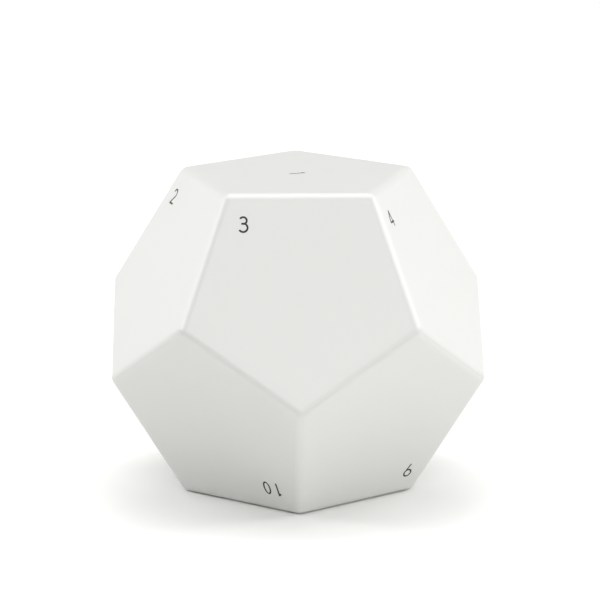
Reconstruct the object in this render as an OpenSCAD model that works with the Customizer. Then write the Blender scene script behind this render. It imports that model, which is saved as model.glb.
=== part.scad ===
// Twelve-sided remote control: a regular dodecahedron that is laid on one of its numbered faces.
// Two shells part along the zigzag between the upper six faces and the lower six.
// A chassis screwed into the lower shell holds two AA cells, and a round board hangs below it.
// All inner places are measured from the centre of the dodecahedron, which rests on z = 0.

/* [Body] */
// Distance between two opposite faces
face_to_face = 80; // [79:1:100]
// Radius of the rounded edges and corners
edge_radius = 2.8; // [1.6:0.1:4.5]
// Thickness of the shell walls
wall = 2.4; // [1.9:0.1:3]

/* [Seam] */
// Gap that shows between the two shells
seam_gap = 0.1; // [0.06:0.01:0.3]
// Height of the tongue that the lower shell pushes up into the upper one
lip_height = 2.2; // [1.4:0.1:3]
// Play between the tongue and its rebate
lip_play = 0.1; // [0.05:0.01:0.2]

/* [Numerals] */
// Height of a numeral
numeral_height = 4.2; // [3:0.1:6]
// Width of a numeral's stroke
stroke = 0.48; // [0.3:0.02:0.7]
// Depth of the inlaid numerals
inlay_depth = 0.25; // [0.15:0.05:0.5]

/* [Cells] */
// Diameter of a cell over its jacket
cell_d = 14.5; // [10:0.1:17.5]
// Length of a cell with its plus nub
cell_l = 50.5; // [42:0.1:51]
// Room for a compressed minus spring
spring_l = 4.4; // [3:0.1:5]
// Wire diameter of the minus springs
spring_wire = 0.7; // [0.5:0.05:0.9]

/* [Chassis] */
// Thickness of the chassis plate
plate_t = 1.6; // [1.2:0.1:2.4]
// Thickness of the tray walls
tray_wall = 1.5; // [1:0.1:2]
// Height of the snap hooks' catching edge above the cells' axes
hook_z = 4; // [2:0.1:6]
// Thickness of the spring clips
clip_t = 0.5; // [0.3:0.05:0.8]

/* [Board] */
// Thickness of the circuit board
board_t = 1; // [0.8:0.1:1.6]
// Clear height between the board and the chassis plate
board_gap = 4.4; // [4:0.1:5.5]

/* [Reset button] */
// Radius of the button's stem
button_r = 1.6; // [1.2:0.1:2.2]
// Radial play of the stem in the chassis plate
button_play = 0.1; // [0.05:0.01:0.1]

/* [Hidden] */
$fn = 48;

// The dodecahedron: its side faces lean by atan(1/2), and ten corners make a belt around it
half = face_to_face / 2;
side_elevation = atan(0.5);
edge_length = 20 * half / sqrt(250 + 110 * sqrt(5));
belt_radius = edge_length / tan(36);
belt_height = (cos(side_elevation) * belt_radius - half) / sin(side_elevation);
cap_radius = edge_length / (2 * sin(36));
inner_half = half - wall;
lip_t = 0.46 * wall;
facet_cover = 1.01;
seam_tip = 0.88 * belt_height;

// Cells and tray
cell_gap = 1.5;
cell_y = (cell_d + cell_gap) / 2;
nub_r = 2.75;
nub_h = 1;
jacket_t = 0.2;
cell_play = 0.3;
contact_t = 0.4;
contact_play = 0.05;
dome_h = 0.6;
contact_w = 9;
contact_h = 0.76 * cell_d;
tab_w = 3;
slot_play = 0.1;
bay_half = (cell_l + dome_h + spring_l) / 2 + contact_t + contact_play;
contact_face = bay_half - contact_t;
nub_x = contact_face - dome_h - contact_play;
tray_y = cell_y + cell_d / 2 + cell_play + tray_wall;
tray_x = bay_half + tray_wall;
saddle_w = 5;
divider_w = 1;

// Heights of the chassis plate and the board
floor_z = -cell_d / 2 - 0.75;
under_z = floor_z - plate_t;
board_top = under_z - board_gap;
board_under = board_top - board_t;
plate_r = (inner_half + sin(side_elevation) * under_z) / cos(side_elevation) - 1.2;
board_r = 0.775 * half;

// Spring clips and the ledges they hold
clip_w = 6;
clip_r = plate_r - 1.2;
clip_azimuths = [for (i = [0:4]) 54 + 72 * i];
ledge_r = clip_r + 0.4;
hook_r = ledge_r + 0.8;
ledge_w = 10;
ledge_t = 1.5;
ledge_play = 0.1;

// Screws and the posts they go into
shell_posts = [for (az = [90, 234, 306]) polar(0.725 * half, az, under_z)];
shell_post_r = 3.2;
shell_screw_r = 1.1;
shell_screw_l = 7.6;
board_posts = [for (az = [90, 210, 330]) polar(0.55 * half, az, board_top)];
board_post_r = 2.4;
board_screw_r = 0.9;
board_screw_l = 5;
hole_play = 0.15;
post_notch_play = 0.8;

// Lights and the reset button
windows = [for (s = [-1, 1]) each [[s * 0.3 * half, 0.6 * half], [s * 0.225 * half, -0.625 * half]]];
window_r = 2.2;
led_w = 3.5;
led_t = 1.6;
lower_lights = [for (i = [0:4]) polar(0.425 * half, 54 + 72 * i, board_under)];
button_at = [0, -0.6125 * half, 0];
button_stand = 0.8;
flange_r = button_r + 1;
flange_t = 1;
flange_play = 0.1;
switch_w = 4.5;
switch_t = 1.6;
plunger_r = 1;
plunger_play = 0.06;
plunger_sink = 0.6;
button_foot = 1.8;
button_end = under_z - flange_play - button_foot;

shell_colour = "white";
metal_colour = "silver";

function polar(r, az, z) = [r * cos(az), r * sin(az), z];
function corners(apothem) = [for (i = [0:4], p = [
    polar(cap_radius, 18 + 72 * i, half),
    polar(belt_radius, 18 + 72 * i, belt_height),
    polar(belt_radius, 54 + 72 * i, -belt_height),
    polar(cap_radius, 54 + 72 * i, -half)
]) p * apothem / half];
function face_azimuth(n) = n <= 6 ? 198 + 72 * (n - 2) : 90 - 72 * (n - 7);

// ---- Shared shapes ----

// Everything stands on z = 0
module standing() {
    translate([0, 0, half]) children();
}

// Sharp dodecahedron with the given distance from its centre to each face
module dodecahedron(apothem) {
    intersection_for (i = [0:5])
        rotate(i == 5 ? [0, 0, 0] : [0, 90 - side_elevation, 54 + 72 * i])
            cube([4 * half, 4 * half, 2 * apothem], center = true);
}

// The outside: edges rounded by balls at the corners, faces cut back to true planes
module rounded_body() {
    intersection() {
        hull()
            for (p = corners(half - edge_radius))
                translate(p) sphere(r = edge_radius * facet_cover, $fn = 32);
        dodecahedron(half);
    }
}

// All that lies on the side of a plane through the origin to which the normal points
module half_space(normal) {
    rotate([0, acos(normal.z / norm(normal)), atan2(normal.y, normal.x)])
        translate([-2 * half, -2 * half, 0]) cube([4 * half, 4 * half, 3 * half]);
}

// All that lies above a height
module above(z) {
    translate([-2 * half, -2 * half, z]) cube(4 * half);
}

// All that lies above the zigzag of belt edges, with its tips cut flat, moved up by lift
module above_seam(lift) {
    low = [belt_radius, 0, -belt_height];
    right = polar(belt_radius, 36, belt_height);
    normal = cross(low, right);
    translate([0, 0, lift]) intersection() {
        union() {
            for (az = clip_azimuths)
                rotate([0, 0, az]) intersection() {
                    half_space(normal);
                    half_space([normal.x, -normal.y, normal.z]);
                }
            above(seam_tip);
        }
        above(-seam_tip);
    }
}

// Lays its children on face n: X runs rightwards and Y upwards as the numeral is read
module on_face(n) {
    if (n == 1) rotate([0, 0, -72]) translate([0, 0, half]) children();
    else if (n == 12) rotate([180, 0, 0]) translate([0, 0, half]) children();
    else rotate([0, 0, face_azimuth(n)])
        rotate([0, 90 - (n <= 6 ? 1 : -1) * side_elevation, 0])
            rotate([0, 0, n <= 6 ? 90 : 270])
                translate([-0.342 * half, 0.43 * half, half]) children();
}

// ---- Numerals, drawn about the middle of their height ----

rise = (numeral_height - stroke) / 2;
spread = 0.25 * numeral_height;
upper_bowl = 0.46 * rise;
lower_bowl = 0.57 * rise;

// Straight stroke between two points
module bar(from, to) {
    run = to - from;
    translate(from) rotate(atan2(run.y, run.x)) translate([0, -stroke / 2])
        square([norm(run), stroke]);
}

// Round stroke about a centre, anticlockwise between two angles
module bow(centre, radius, from, to) {
    translate(centre) intersection() {
        ring(radius);
        polygon(concat([[0, 0]], [for (i = [0:8])
            let (t = from + (to - from) * i / 8) 2 * radius * [cos(t), sin(t)]]));
    }
}

module ring(radius) {
    difference() {
        circle(radius + stroke / 2);
        circle(radius - stroke / 2);
    }
}

// Angle at which a line from a point touches a circle, on the circle's right-hand side
function touch_angle(centre, radius, point) =
    let (run = point - centre) atan2(run.y, run.x) + acos(radius / norm(run));

module zero() {
    function oval(grow) = [for (t = [0:15:345]) [(0.8 * spread + grow) * cos(t), (rise + grow) * sin(t)]];
    difference() {
        polygon(oval(stroke / 2));
        polygon(oval(-stroke / 2));
    }
}

module one() {
    top = rise + stroke / 2;
    bar([0, -top], [0, top]);
    bar([-0.6 * spread, top - 0.55 * spread - stroke / 2], [0, top - stroke / 2]);
}

module two() {
    centre = [0, rise - spread];
    foot = [-spread, -rise];
    turn = touch_angle(centre, spread, foot);
    overlap = 0.3 * stroke * [-sin(turn), cos(turn)];
    bow(centre, spread, turn, 165);
    bar(centre + spread * [cos(turn), sin(turn)] + overlap, foot);
    bar([-spread - stroke / 2, -rise], [spread + stroke / 2, -rise]);
}

module three() {
    bow([0, rise - upper_bowl], upper_bowl, -90, 150);
    bow([0, lower_bowl - rise], lower_bowl, -150, 90);
    bar([-0.45 * spread, 0.11 * rise], [0.1 * spread, 0.11 * rise]);
}

module four() {
    stem = 0.5 * spread;
    level = -0.5 * rise;
    bar([stem, -rise - stroke / 2], [stem, rise + stroke / 2]);
    bar([-1.2 * spread, level], [1.2 * spread, level]);
    bar([-1.2 * spread, level + stroke / 4], [stem, rise]);
}

module five() {
    corner = [-0.6 * spread, rise];
    centre = [0, 0.58 * rise - rise];
    start = centre + 0.58 * rise * [cos(130), sin(130)];
    bar(corner - [stroke / 2, 0], [0.85 * spread, rise]);
    bar(corner, start);
    bow(centre, 0.58 * rise, -150, 134);
}

module seven() {
    bar([-spread - stroke / 2, rise], [spread + stroke / 2, rise]);
    bar([spread, rise], [-0.4 * spread, -rise - stroke / 2]);
}

module eight() {
    translate([0, rise - upper_bowl]) ring(upper_bowl);
    translate([0, lower_bowl - rise]) ring(lower_bowl);
}

module nine() {
    centre = [0, rise - spread];
    foot = [-0.3 * spread, -rise - stroke / 2];
    turn = touch_angle(centre, 0.95 * spread, foot);
    translate(centre) ring(spread);
    bar(centre + 0.95 * spread * [cos(turn), sin(turn)], foot);
}

module digit(d) {
    if (d == 0) zero();
    if (d == 1) one();
    if (d == 2) two();
    if (d == 3) three();
    if (d == 4) four();
    if (d == 5) five();
    if (d == 6) rotate(180) nine();
    if (d == 7) seven();
    if (d == 8) eight();
    if (d == 9) nine();
}

// A number of one or two digits, whose first digit stands at the origin
module number(n) {
    pitch = (n == 11 ? 0.5 : 0.76) * numeral_height;
    shift = n == 12 ? -pitch / 2 : 0;
    translate([shift, 0]) {
        digit(n < 10 ? n : 1);
        if (n >= 10) translate([pitch, 0]) digit(n - 10);
    }
}

// The number as a thin solid whose outer side lies proud of its face by extra
module inlay(n, extra) {
    on_face(n) translate([0, 0, -inlay_depth])
        linear_extrude(inlay_depth + extra) number(n);
}

module numeral(n) {
    standing() color("dimgray") inlay(n, 0);
}

// ---- Shells ----

// Cylindrical post that runs down into the lower shell's wall
module shell_post(at) {
    intersection() {
        translate([at.x, at.y, -half]) cylinder(r = shell_post_r, h = half + under_z);
        dodecahedron(half - wall / 2);
    }
}

module lower_shell() {
    standing() color(shell_colour) difference() {
        union() {
            difference() {
                rounded_body();
                above_seam(-seam_gap / 2);
                dodecahedron(inner_half);
            }
            difference() {
                dodecahedron(inner_half + lip_t);
                above_seam(lip_height);
                dodecahedron(inner_half);
            }
            for (at = shell_posts) shell_post(at);
        }
        for (at = shell_posts)
            translate([at.x, at.y, under_z - shell_screw_l]) cylinder(r = shell_screw_r, h = shell_screw_l + 1);
        for (n = [7:12]) inlay(n, 1);
    }
}

// Ledge inside the upper shell, under which a spring clip's hook comes to lie
module catch_ledge(az) {
    intersection() {
        rotate([0, 0, az]) translate([ledge_r, -ledge_w / 2, hook_z - ledge_play - ledge_t])
            cube([half, ledge_w, ledge_t]);
        dodecahedron(half - wall / 2);
    }
}

module upper_shell() {
    standing() color(shell_colour) difference() {
        union() {
            intersection() {
                rounded_body();
                above_seam(seam_gap / 2);
            }
            for (az = clip_azimuths) catch_ledge(az);
        }
        difference() {
            dodecahedron(inner_half);
            for (az = clip_azimuths) catch_ledge(az);
        }
        difference() {
            dodecahedron(inner_half + lip_t + lip_play);
            above_seam(lip_height + lip_play);
        }
        for (n = [1:6]) inlay(n, 1);
    }
}

// ---- Chassis ----

// Tray for the two cells: walls, saddles and a low divider on the plate
module tray() {
    for (s = [-1, 1]) {
        translate([s > 0 ? bay_half : -tray_x, -tray_y, floor_z])
            cube([tray_wall, 2 * tray_y, cell_d / 2 - floor_z - 0.25]);
        translate([-tray_x, s > 0 ? tray_y - tray_wall : -tray_y, floor_z])
            cube([2 * tray_x, tray_wall, 2 - floor_z]);
        translate([s * 0.28 * cell_l - saddle_w / 2, -tray_y, floor_z])
            cube([saddle_w, 2 * tray_y, 0.28 * cell_d]);
    }
    translate([-0.44 * cell_l, -divider_w / 2, floor_z]) cube([0.88 * cell_l, divider_w, -1 - floor_z]);
}

// Slot through the plate for a contact's tab
module tab_slot(y) {
    translate([contact_face - slot_play, y - tab_w / 2 - slot_play, under_z - 1])
        cube([contact_t + slot_play, tab_w + 2 * slot_play, plate_t + 2]);
}

module chassis() {
    standing() color("gainsboro") difference() {
        union() {
            translate([0, 0, under_z]) cylinder(r = plate_r, h = plate_t, $fn = 96);
            tray();
            for (at = board_posts) translate(at) cylinder(r = board_post_r, h = board_gap + plate_t / 2);
        }
        for (s = [-1, 1])
            translate([-bay_half, s * cell_y, 0]) rotate([0, 90, 0])
                cylinder(r = cell_d / 2 + slot_play, h = 2 * bay_half);
        for (at = shell_posts)
            translate([at.x, at.y, under_z - 1]) cylinder(r = shell_screw_r + hole_play, h = plate_t + 2);
        for (at = board_posts)
            translate(at - [0, 0, 1]) cylinder(r = board_screw_r, h = board_gap + plate_t / 2 + 1);
        for (at = windows)
            translate([at.x, at.y, under_z - 1]) cylinder(r = window_r, h = plate_t + 2);
        translate([0, button_at.y, under_z - 1]) cylinder(r = button_r + button_play, h = plate_t + 2);
        for (az = clip_azimuths)
            rotate([0, 0, az]) translate([clip_r - clip_t - slot_play, -clip_w / 2 - slot_play, under_z - 1])
                cube([clip_t + 2 * slot_play, clip_w + 2 * slot_play, plate_t + 2]);
        for (s = [-1, 1]) tab_slot(s * cell_y);
    }
}

// Bent strip: foot under the plate, upright, hook over the ledge and a ramp back inwards
module snap_clip() {
    inner = clip_r - clip_t;
    outline = [
        [inner - 3, under_z - clip_t], [clip_r, under_z - clip_t], [clip_r, hook_z],
        [hook_r, hook_z], [hook_r, hook_z + clip_t], [clip_r - 0.4, hook_z + 3.2],
        [clip_r - 0.4 - clip_t, hook_z + 3], [hook_r - 1.2 * clip_t, hook_z + clip_t],
        [inner, hook_z + clip_t], [inner, under_z], [inner - 3, under_z]
    ];
    translate([0, clip_w / 2, 0]) rotate([90, 0, 0]) linear_extrude(clip_w) polygon(outline);
}

module snap_clips() {
    standing() color(metal_colour)
        for (az = clip_azimuths) rotate([0, 0, az]) snap_clip();
}

// Pan-head screw that points down from the origin, with a cross recess
module screw(r, l, head_r, head_h) {
    difference() {
        union() {
            translate([0, 0, -l]) cylinder(r = r, h = l);
            cylinder(r = head_r, h = head_h);
        }
        for (turn = [0, 90])
            rotate([0, 0, turn]) translate([-0.65 * head_r, -0.14 * head_r, 0.45 * head_h])
                cube([1.3 * head_r, 0.28 * head_r, head_h]);
    }
}

module chassis_screws() {
    standing() color(metal_colour)
        for (at = shell_posts)
            translate([at.x, at.y, floor_z]) screw(shell_screw_r, shell_screw_l - 0.5, 2, 1.3);
}

module board_screws() {
    standing() color(metal_colour)
        for (at = board_posts)
            translate([at.x, at.y, board_under]) rotate([180, 0, 0])
                screw(board_screw_r, board_screw_l, 1.8, 1.1);
}

// ---- Board ----

// Block that stands on the board's upper side, or hangs from its underside
module on_board(at, size, below = false) {
    translate([at.x - size.x / 2, at.y - size.y / 2, below ? board_under - size.z : board_top]) cube(size);
}

module main_board() {
    standing() color("ivory") difference() {
        translate([0, 0, board_under]) cylinder(r = board_r, h = board_t, $fn = 96);
        for (at = shell_posts)
            translate([at.x, at.y, board_under - 1]) cylinder(r = shell_post_r + post_notch_play, h = board_t + 2);
        for (at = board_posts)
            translate([at.x, at.y, board_under - 1]) cylinder(r = board_screw_r + hole_play, h = board_t + 2);
    }
}

// Radio on a small board of its own under the main board, with a sheet-metal lid over it
radio_size = [18, 13, 0.8];
shield_size = [12, 11, 1.8];
radio_at = [0, -0.07 * half];
shield_at = radio_at - [2, 0];
shield_t = 0.2;

module radio_module() {
    standing() color("darkgreen") on_board(radio_at, radio_size, below = true);
}

module radio_shield() {
    standing() color(metal_colour) translate([0, 0, -radio_size.z]) difference() {
        on_board(shield_at, shield_size, below = true);
        on_board(shield_at, shield_size - [2, 2, 1] * shield_t, below = true);
    }
}

// Chip antenna on the radio's own board, beside the shield
module antenna() {
    standing() color("whitesmoke") translate([0, 0, -radio_size.z])
        on_board(radio_at + [6.9, 0], [2, 8, 1.2], below = true);
}

module motion_sensor() {
    standing() color("dimgray") on_board([0, 0], [3, 3, 1]);
}

module voltage_regulator() {
    standing() color("dimgray") on_board([0.3 * half, 0.15 * half], [5, 4, 1.5]);
}

module power_inductor() {
    standing() color("gray") on_board([0.46 * half, 0.15 * half], [5, 5, 2.5]);
}

module crystal() {
    standing() color(metal_colour) on_board([-0.22 * half, 0.15 * half], [5, 3.2, 1.2]);
}

module capacitors() {
    standing() color("tan") {
        for (i = [-2:2]) on_board([i * 0.06 * half, -0.2 * half], [1.25, 2, 0.9]);
        for (s = [-1, 1]) on_board([0.38 * half, 0.15 * half + s * 5], [3.2, 1.6, 1.4]);
        on_board([-0.46 * half, 0.15 * half], [1.6, 3.2, 1.4]);
    }
}

module resistors() {
    standing() color("black") {
        for (i = [-3:3]) on_board([i * 0.05 * half, 0.3 * half], [0.8, 1.6, 0.5]);
        for (at = windows) on_board([0.85 * at.x, 0.85 * at.y], [1.6, 0.8, 0.5]);
    }
}

// Surface light with a round lens pocket in its free side
module led(below) {
    difference() {
        on_board([0, 0], [led_w, led_w, led_t], below);
        translate([0, 0, below ? board_under - led_t : board_top + led_t - 0.4])
            cylinder(r = 0.36 * led_w, h = 0.4);
    }
}

module upper_leds() {
    standing() color("lightyellow")
        for (at = windows) translate([at.x, at.y, 0]) led(below = false);
}

module lower_leds() {
    standing() color("lightyellow")
        for (at = lower_lights) translate([at.x, at.y, 0]) led(below = true);
}

// ---- Reset button ----

module reset_switch() {
    standing() color("black") difference() {
        on_board(button_at, [switch_w, switch_w, switch_t]);
        translate(button_at + [0, 0, board_top + 0.3])
            cylinder(r = plunger_r + plunger_play, h = switch_t);
    }
}

module switch_plunger() {
    low = board_top + switch_t - plunger_sink;
    standing() color("gray")
        translate(button_at + [0, 0, low]) cylinder(r = plunger_r, h = button_end - low);
}

module reset_button() {
    standing() color("whitesmoke") translate(button_at) {
        translate([0, 0, button_end]) cylinder(r = button_r, h = floor_z + button_stand - button_end);
        translate([0, 0, under_z - flange_play - flange_t]) cylinder(r = flange_r, h = flange_t);
    }
}

// ---- Cells, contacts and springs ----

// Flat contact against the tray's +X end wall, in front of the cell at y
module contact_plate(y) {
    translate([contact_face, y - contact_w / 2, -contact_h / 2]) cube([contact_t, contact_w, contact_h]);
}

// Strip that runs down from a contact through the plate to the board
module contact_tab(y) {
    translate([contact_face, y - tab_w / 2, board_top]) cube([contact_t, tab_w, -board_top]);
}

// Raised button that meets a cell's nub, on the inner side of a contact
module contact_dome(y) {
    translate([contact_face - dome_h, y, 0]) rotate([0, 90, 0])
        cylinder(r1 = nub_r - 1, r2 = nub_r, h = dome_h);
}

module plus_contact() {
    standing() color(metal_colour) {
        contact_plate(-cell_y);
        contact_tab(-cell_y);
        contact_dome(-cell_y);
    }
}

module minus_contact() {
    standing() color(metal_colour) {
        contact_plate(cell_y);
        contact_tab(cell_y);
    }
}

// Joins the two cells at the -X end
module link_contact() {
    standing() color(metal_colour) rotate([0, 0, 180]) {
        contact_plate(cell_y);
        contact_plate(-cell_y);
        contact_dome(-cell_y);
        translate([contact_face, -cell_y, -2]) cube([contact_t, 2 * cell_y, 4]);
    }
}

// Conical coil along -X, from the contact at the +X end to a cell's minus end
module coil_spring() {
    turns = 3.5;
    steps = 14 * turns;
    sides = 8;
    wide = 0.33 * cell_d;
    narrow = 0.2 * cell_d;
    first = contact_face - spring_wire / 2 - contact_play / 2;
    travel = spring_l - spring_wire - contact_play;
    function place(i) = let (t = i / steps, r = wide + (narrow - wide) * t, a = 360 * turns * t)
        [first - travel * t, r * cos(a), r * sin(a)];
    function outward(i) = let (a = 360 * turns * i / steps) [0, cos(a), sin(a)];
    points = [for (i = [0:steps], k = [0:sides - 1])
        place(i) + spring_wire / 2 * (cos(360 * k / sides) * outward(i) + sin(360 * k / sides) * [1, 0, 0])];
    faces = concat(
        [[for (k = [0:sides - 1]) k]],
        [[for (k = [0:sides - 1]) steps * sides + sides - 1 - k]],
        [for (i = [0:steps - 1], k = [0:sides - 1])
            let (a = i * sides + k, b = i * sides + (k + 1) % sides) each [[a, a + sides, b], [b, a + sides, b + sides]]]
    );
    polyhedron(points, faces, convexity = 8);
}

module minus_spring() {
    standing() color(metal_colour) translate([0, cell_y, 0]) coil_spring();
}

module link_spring() {
    standing() color(metal_colour) rotate([0, 0, 180]) translate([0, cell_y, 0]) coil_spring();
}

// Can and plus nub of a cell whose nub points to +X
module cell_can() {
    rotate([0, 90, 0]) {
        translate([0, 0, nub_x - cell_l]) cylinder(r = cell_d / 2 - jacket_t, h = cell_l - nub_h);
        translate([0, 0, nub_x - nub_h]) cylinder(r = nub_r, h = nub_h);
    }
}

module cell_jacket() {
    rotate([0, 90, 0]) translate([0, 0, nub_x - cell_l]) difference() {
        cylinder(r = cell_d / 2, h = cell_l - nub_h);
        translate([0, 0, -1]) cylinder(r = cell_d / 2 - jacket_t, h = cell_l + 2);
    }
}

module cell_a() {
    standing() color(metal_colour) translate([0, -cell_y, 0]) cell_can();
}

module cell_a_jacket() {
    standing() color("seagreen") translate([0, -cell_y, 0]) cell_jacket();
}

module cell_b() {
    standing() color(metal_colour) rotate([0, 0, 180]) translate([0, -cell_y, 0]) cell_can();
}

module cell_b_jacket() {
    standing() color("seagreen") rotate([0, 0, 180]) translate([0, -cell_y, 0]) cell_jacket();
}

lower_shell();
upper_shell();
chassis();
snap_clips();
chassis_screws();
board_screws();
main_board();
radio_module();
radio_shield();
antenna();
motion_sensor();
voltage_regulator();
power_inductor();
crystal();
capacitors();
resistors();
upper_leds();
lower_leds();
reset_switch();
switch_plunger();
reset_button();
plus_contact();
minus_contact();
minus_spring();
link_contact();
link_spring();
cell_a();
cell_a_jacket();
cell_b();
cell_b_jacket();
for (n = [1:12])
    numeral(n);
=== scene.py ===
"""Looks of a twelve-sided remote control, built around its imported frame.

Lengths are in metres. The body rests on z = 0, with the face numbered 3 towards -Y and the face
numbered 1 on top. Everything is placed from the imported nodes' boxes and the body's own geometry.
"""

from __future__ import annotations

import logging
import math
from dataclasses import dataclass, field
from enum import Enum
from typing import Any, Iterable, Sequence, Union

import bmesh
import bpy
from mathutils import Euler, Matrix, Vector


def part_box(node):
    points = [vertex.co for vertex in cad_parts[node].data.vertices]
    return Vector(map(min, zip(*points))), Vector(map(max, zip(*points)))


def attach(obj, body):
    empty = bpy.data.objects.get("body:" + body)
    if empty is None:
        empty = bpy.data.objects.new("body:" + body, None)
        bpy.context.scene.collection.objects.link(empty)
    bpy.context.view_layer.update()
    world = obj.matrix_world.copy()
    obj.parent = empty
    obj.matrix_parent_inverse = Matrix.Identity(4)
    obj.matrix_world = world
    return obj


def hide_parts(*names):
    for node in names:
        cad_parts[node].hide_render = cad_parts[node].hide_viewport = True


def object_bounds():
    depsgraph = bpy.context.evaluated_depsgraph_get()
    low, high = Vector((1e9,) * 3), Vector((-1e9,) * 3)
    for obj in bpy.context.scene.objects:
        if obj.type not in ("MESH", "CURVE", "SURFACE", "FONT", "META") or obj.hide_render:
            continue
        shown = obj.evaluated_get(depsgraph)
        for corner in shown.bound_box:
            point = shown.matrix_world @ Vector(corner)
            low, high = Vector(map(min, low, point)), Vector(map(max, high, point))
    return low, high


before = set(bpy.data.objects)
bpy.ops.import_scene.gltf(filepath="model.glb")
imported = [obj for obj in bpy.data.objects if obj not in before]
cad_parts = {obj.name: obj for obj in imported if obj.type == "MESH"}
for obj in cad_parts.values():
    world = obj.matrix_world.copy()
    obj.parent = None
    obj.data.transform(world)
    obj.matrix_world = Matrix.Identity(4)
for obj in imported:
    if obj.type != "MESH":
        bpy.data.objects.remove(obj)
CAD_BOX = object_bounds()

LOG = logging.getLogger("remote")
MM = 0.001
Z_AXIS = Vector((0.0, 0.0, 1.0))


class Body(Enum):
    """Rigid bodies of the remote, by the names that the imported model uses."""

    BASE = "base"
    CAP = "cap"
    CELL_A = "cell_a"
    CELL_B = "cell_b"
    BUTTON = "button"


class Half(Enum):
    """The two shells, with the sign of the side on which each one lies."""

    UPPER = 1
    LOWER = -1


# ---------------------------------------------------------------------------------------------
# Shader kit
# ---------------------------------------------------------------------------------------------


class Signal:
    """A number socket of a shader tree that takes part in Python arithmetic."""

    def __init__(self, kit: "ShaderKit", socket: bpy.types.NodeSocket) -> None:
        """Wraps a socket.

        Args:
            socket: The output that carries the number.
        """
        self.kit = kit
        self.socket = socket

    def _maths(self, operation: str, *values: "Number") -> "Signal":
        """Adds one Math node and returns its result."""
        node = self.kit.node("ShaderNodeMath", {"operation": operation}, dict(enumerate(values)))
        return Signal(self.kit, node.outputs[0])

    def __add__(self, other: "Number") -> "Signal":
        """Sum."""
        return self._maths("ADD", self, other)

    __radd__ = __add__

    def __sub__(self, other: "Number") -> "Signal":
        """Difference."""
        return self._maths("SUBTRACT", self, other)

    def __rsub__(self, other: "Number") -> "Signal":
        """Difference with this signal on the right."""
        return self._maths("SUBTRACT", other, self)

    def __mul__(self, other: "Number") -> "Signal":
        """Product."""
        return self._maths("MULTIPLY", self, other)

    __rmul__ = __mul__

    def __lt__(self, other: "Number") -> "Signal":
        """One where this signal is smaller, and nought elsewhere."""
        return self._maths("LESS_THAN", self, other)

    def __gt__(self, other: "Number") -> "Signal":
        """One where this signal is larger, and nought elsewhere."""
        return self._maths("GREATER_THAN", self, other)

    def __or__(self, other: "Number") -> "Signal":
        """The larger of two masks."""
        return self._maths("MAXIMUM", self, other)

    def __abs__(self) -> "Signal":
        """Size without its sign."""
        return self._maths("ABSOLUTE", self)

    def wrapped(self, step: float) -> "Signal":
        """The distance to the nearest multiple of a step."""
        return self._maths("PINGPONG", self, step / 2.0)

    def ramp(self, low: float, high: float) -> "Signal":
        """Rises smoothly from nought at one value to one at another.

        Args:
            low: Value at which the result is nought.
            high: Value at which the result is one.

        Returns:
            The smooth step.
        """
        node = self.kit.node(
            "ShaderNodeMapRange",
            {"interpolation_type": "SMOOTHSTEP"},
            {"Value": self, "From Min": low, "From Max": high},
        )
        return Signal(self.kit, node.outputs[0])


Number = Union[Signal, float]
Colour = tuple[float, float, float]


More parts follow.
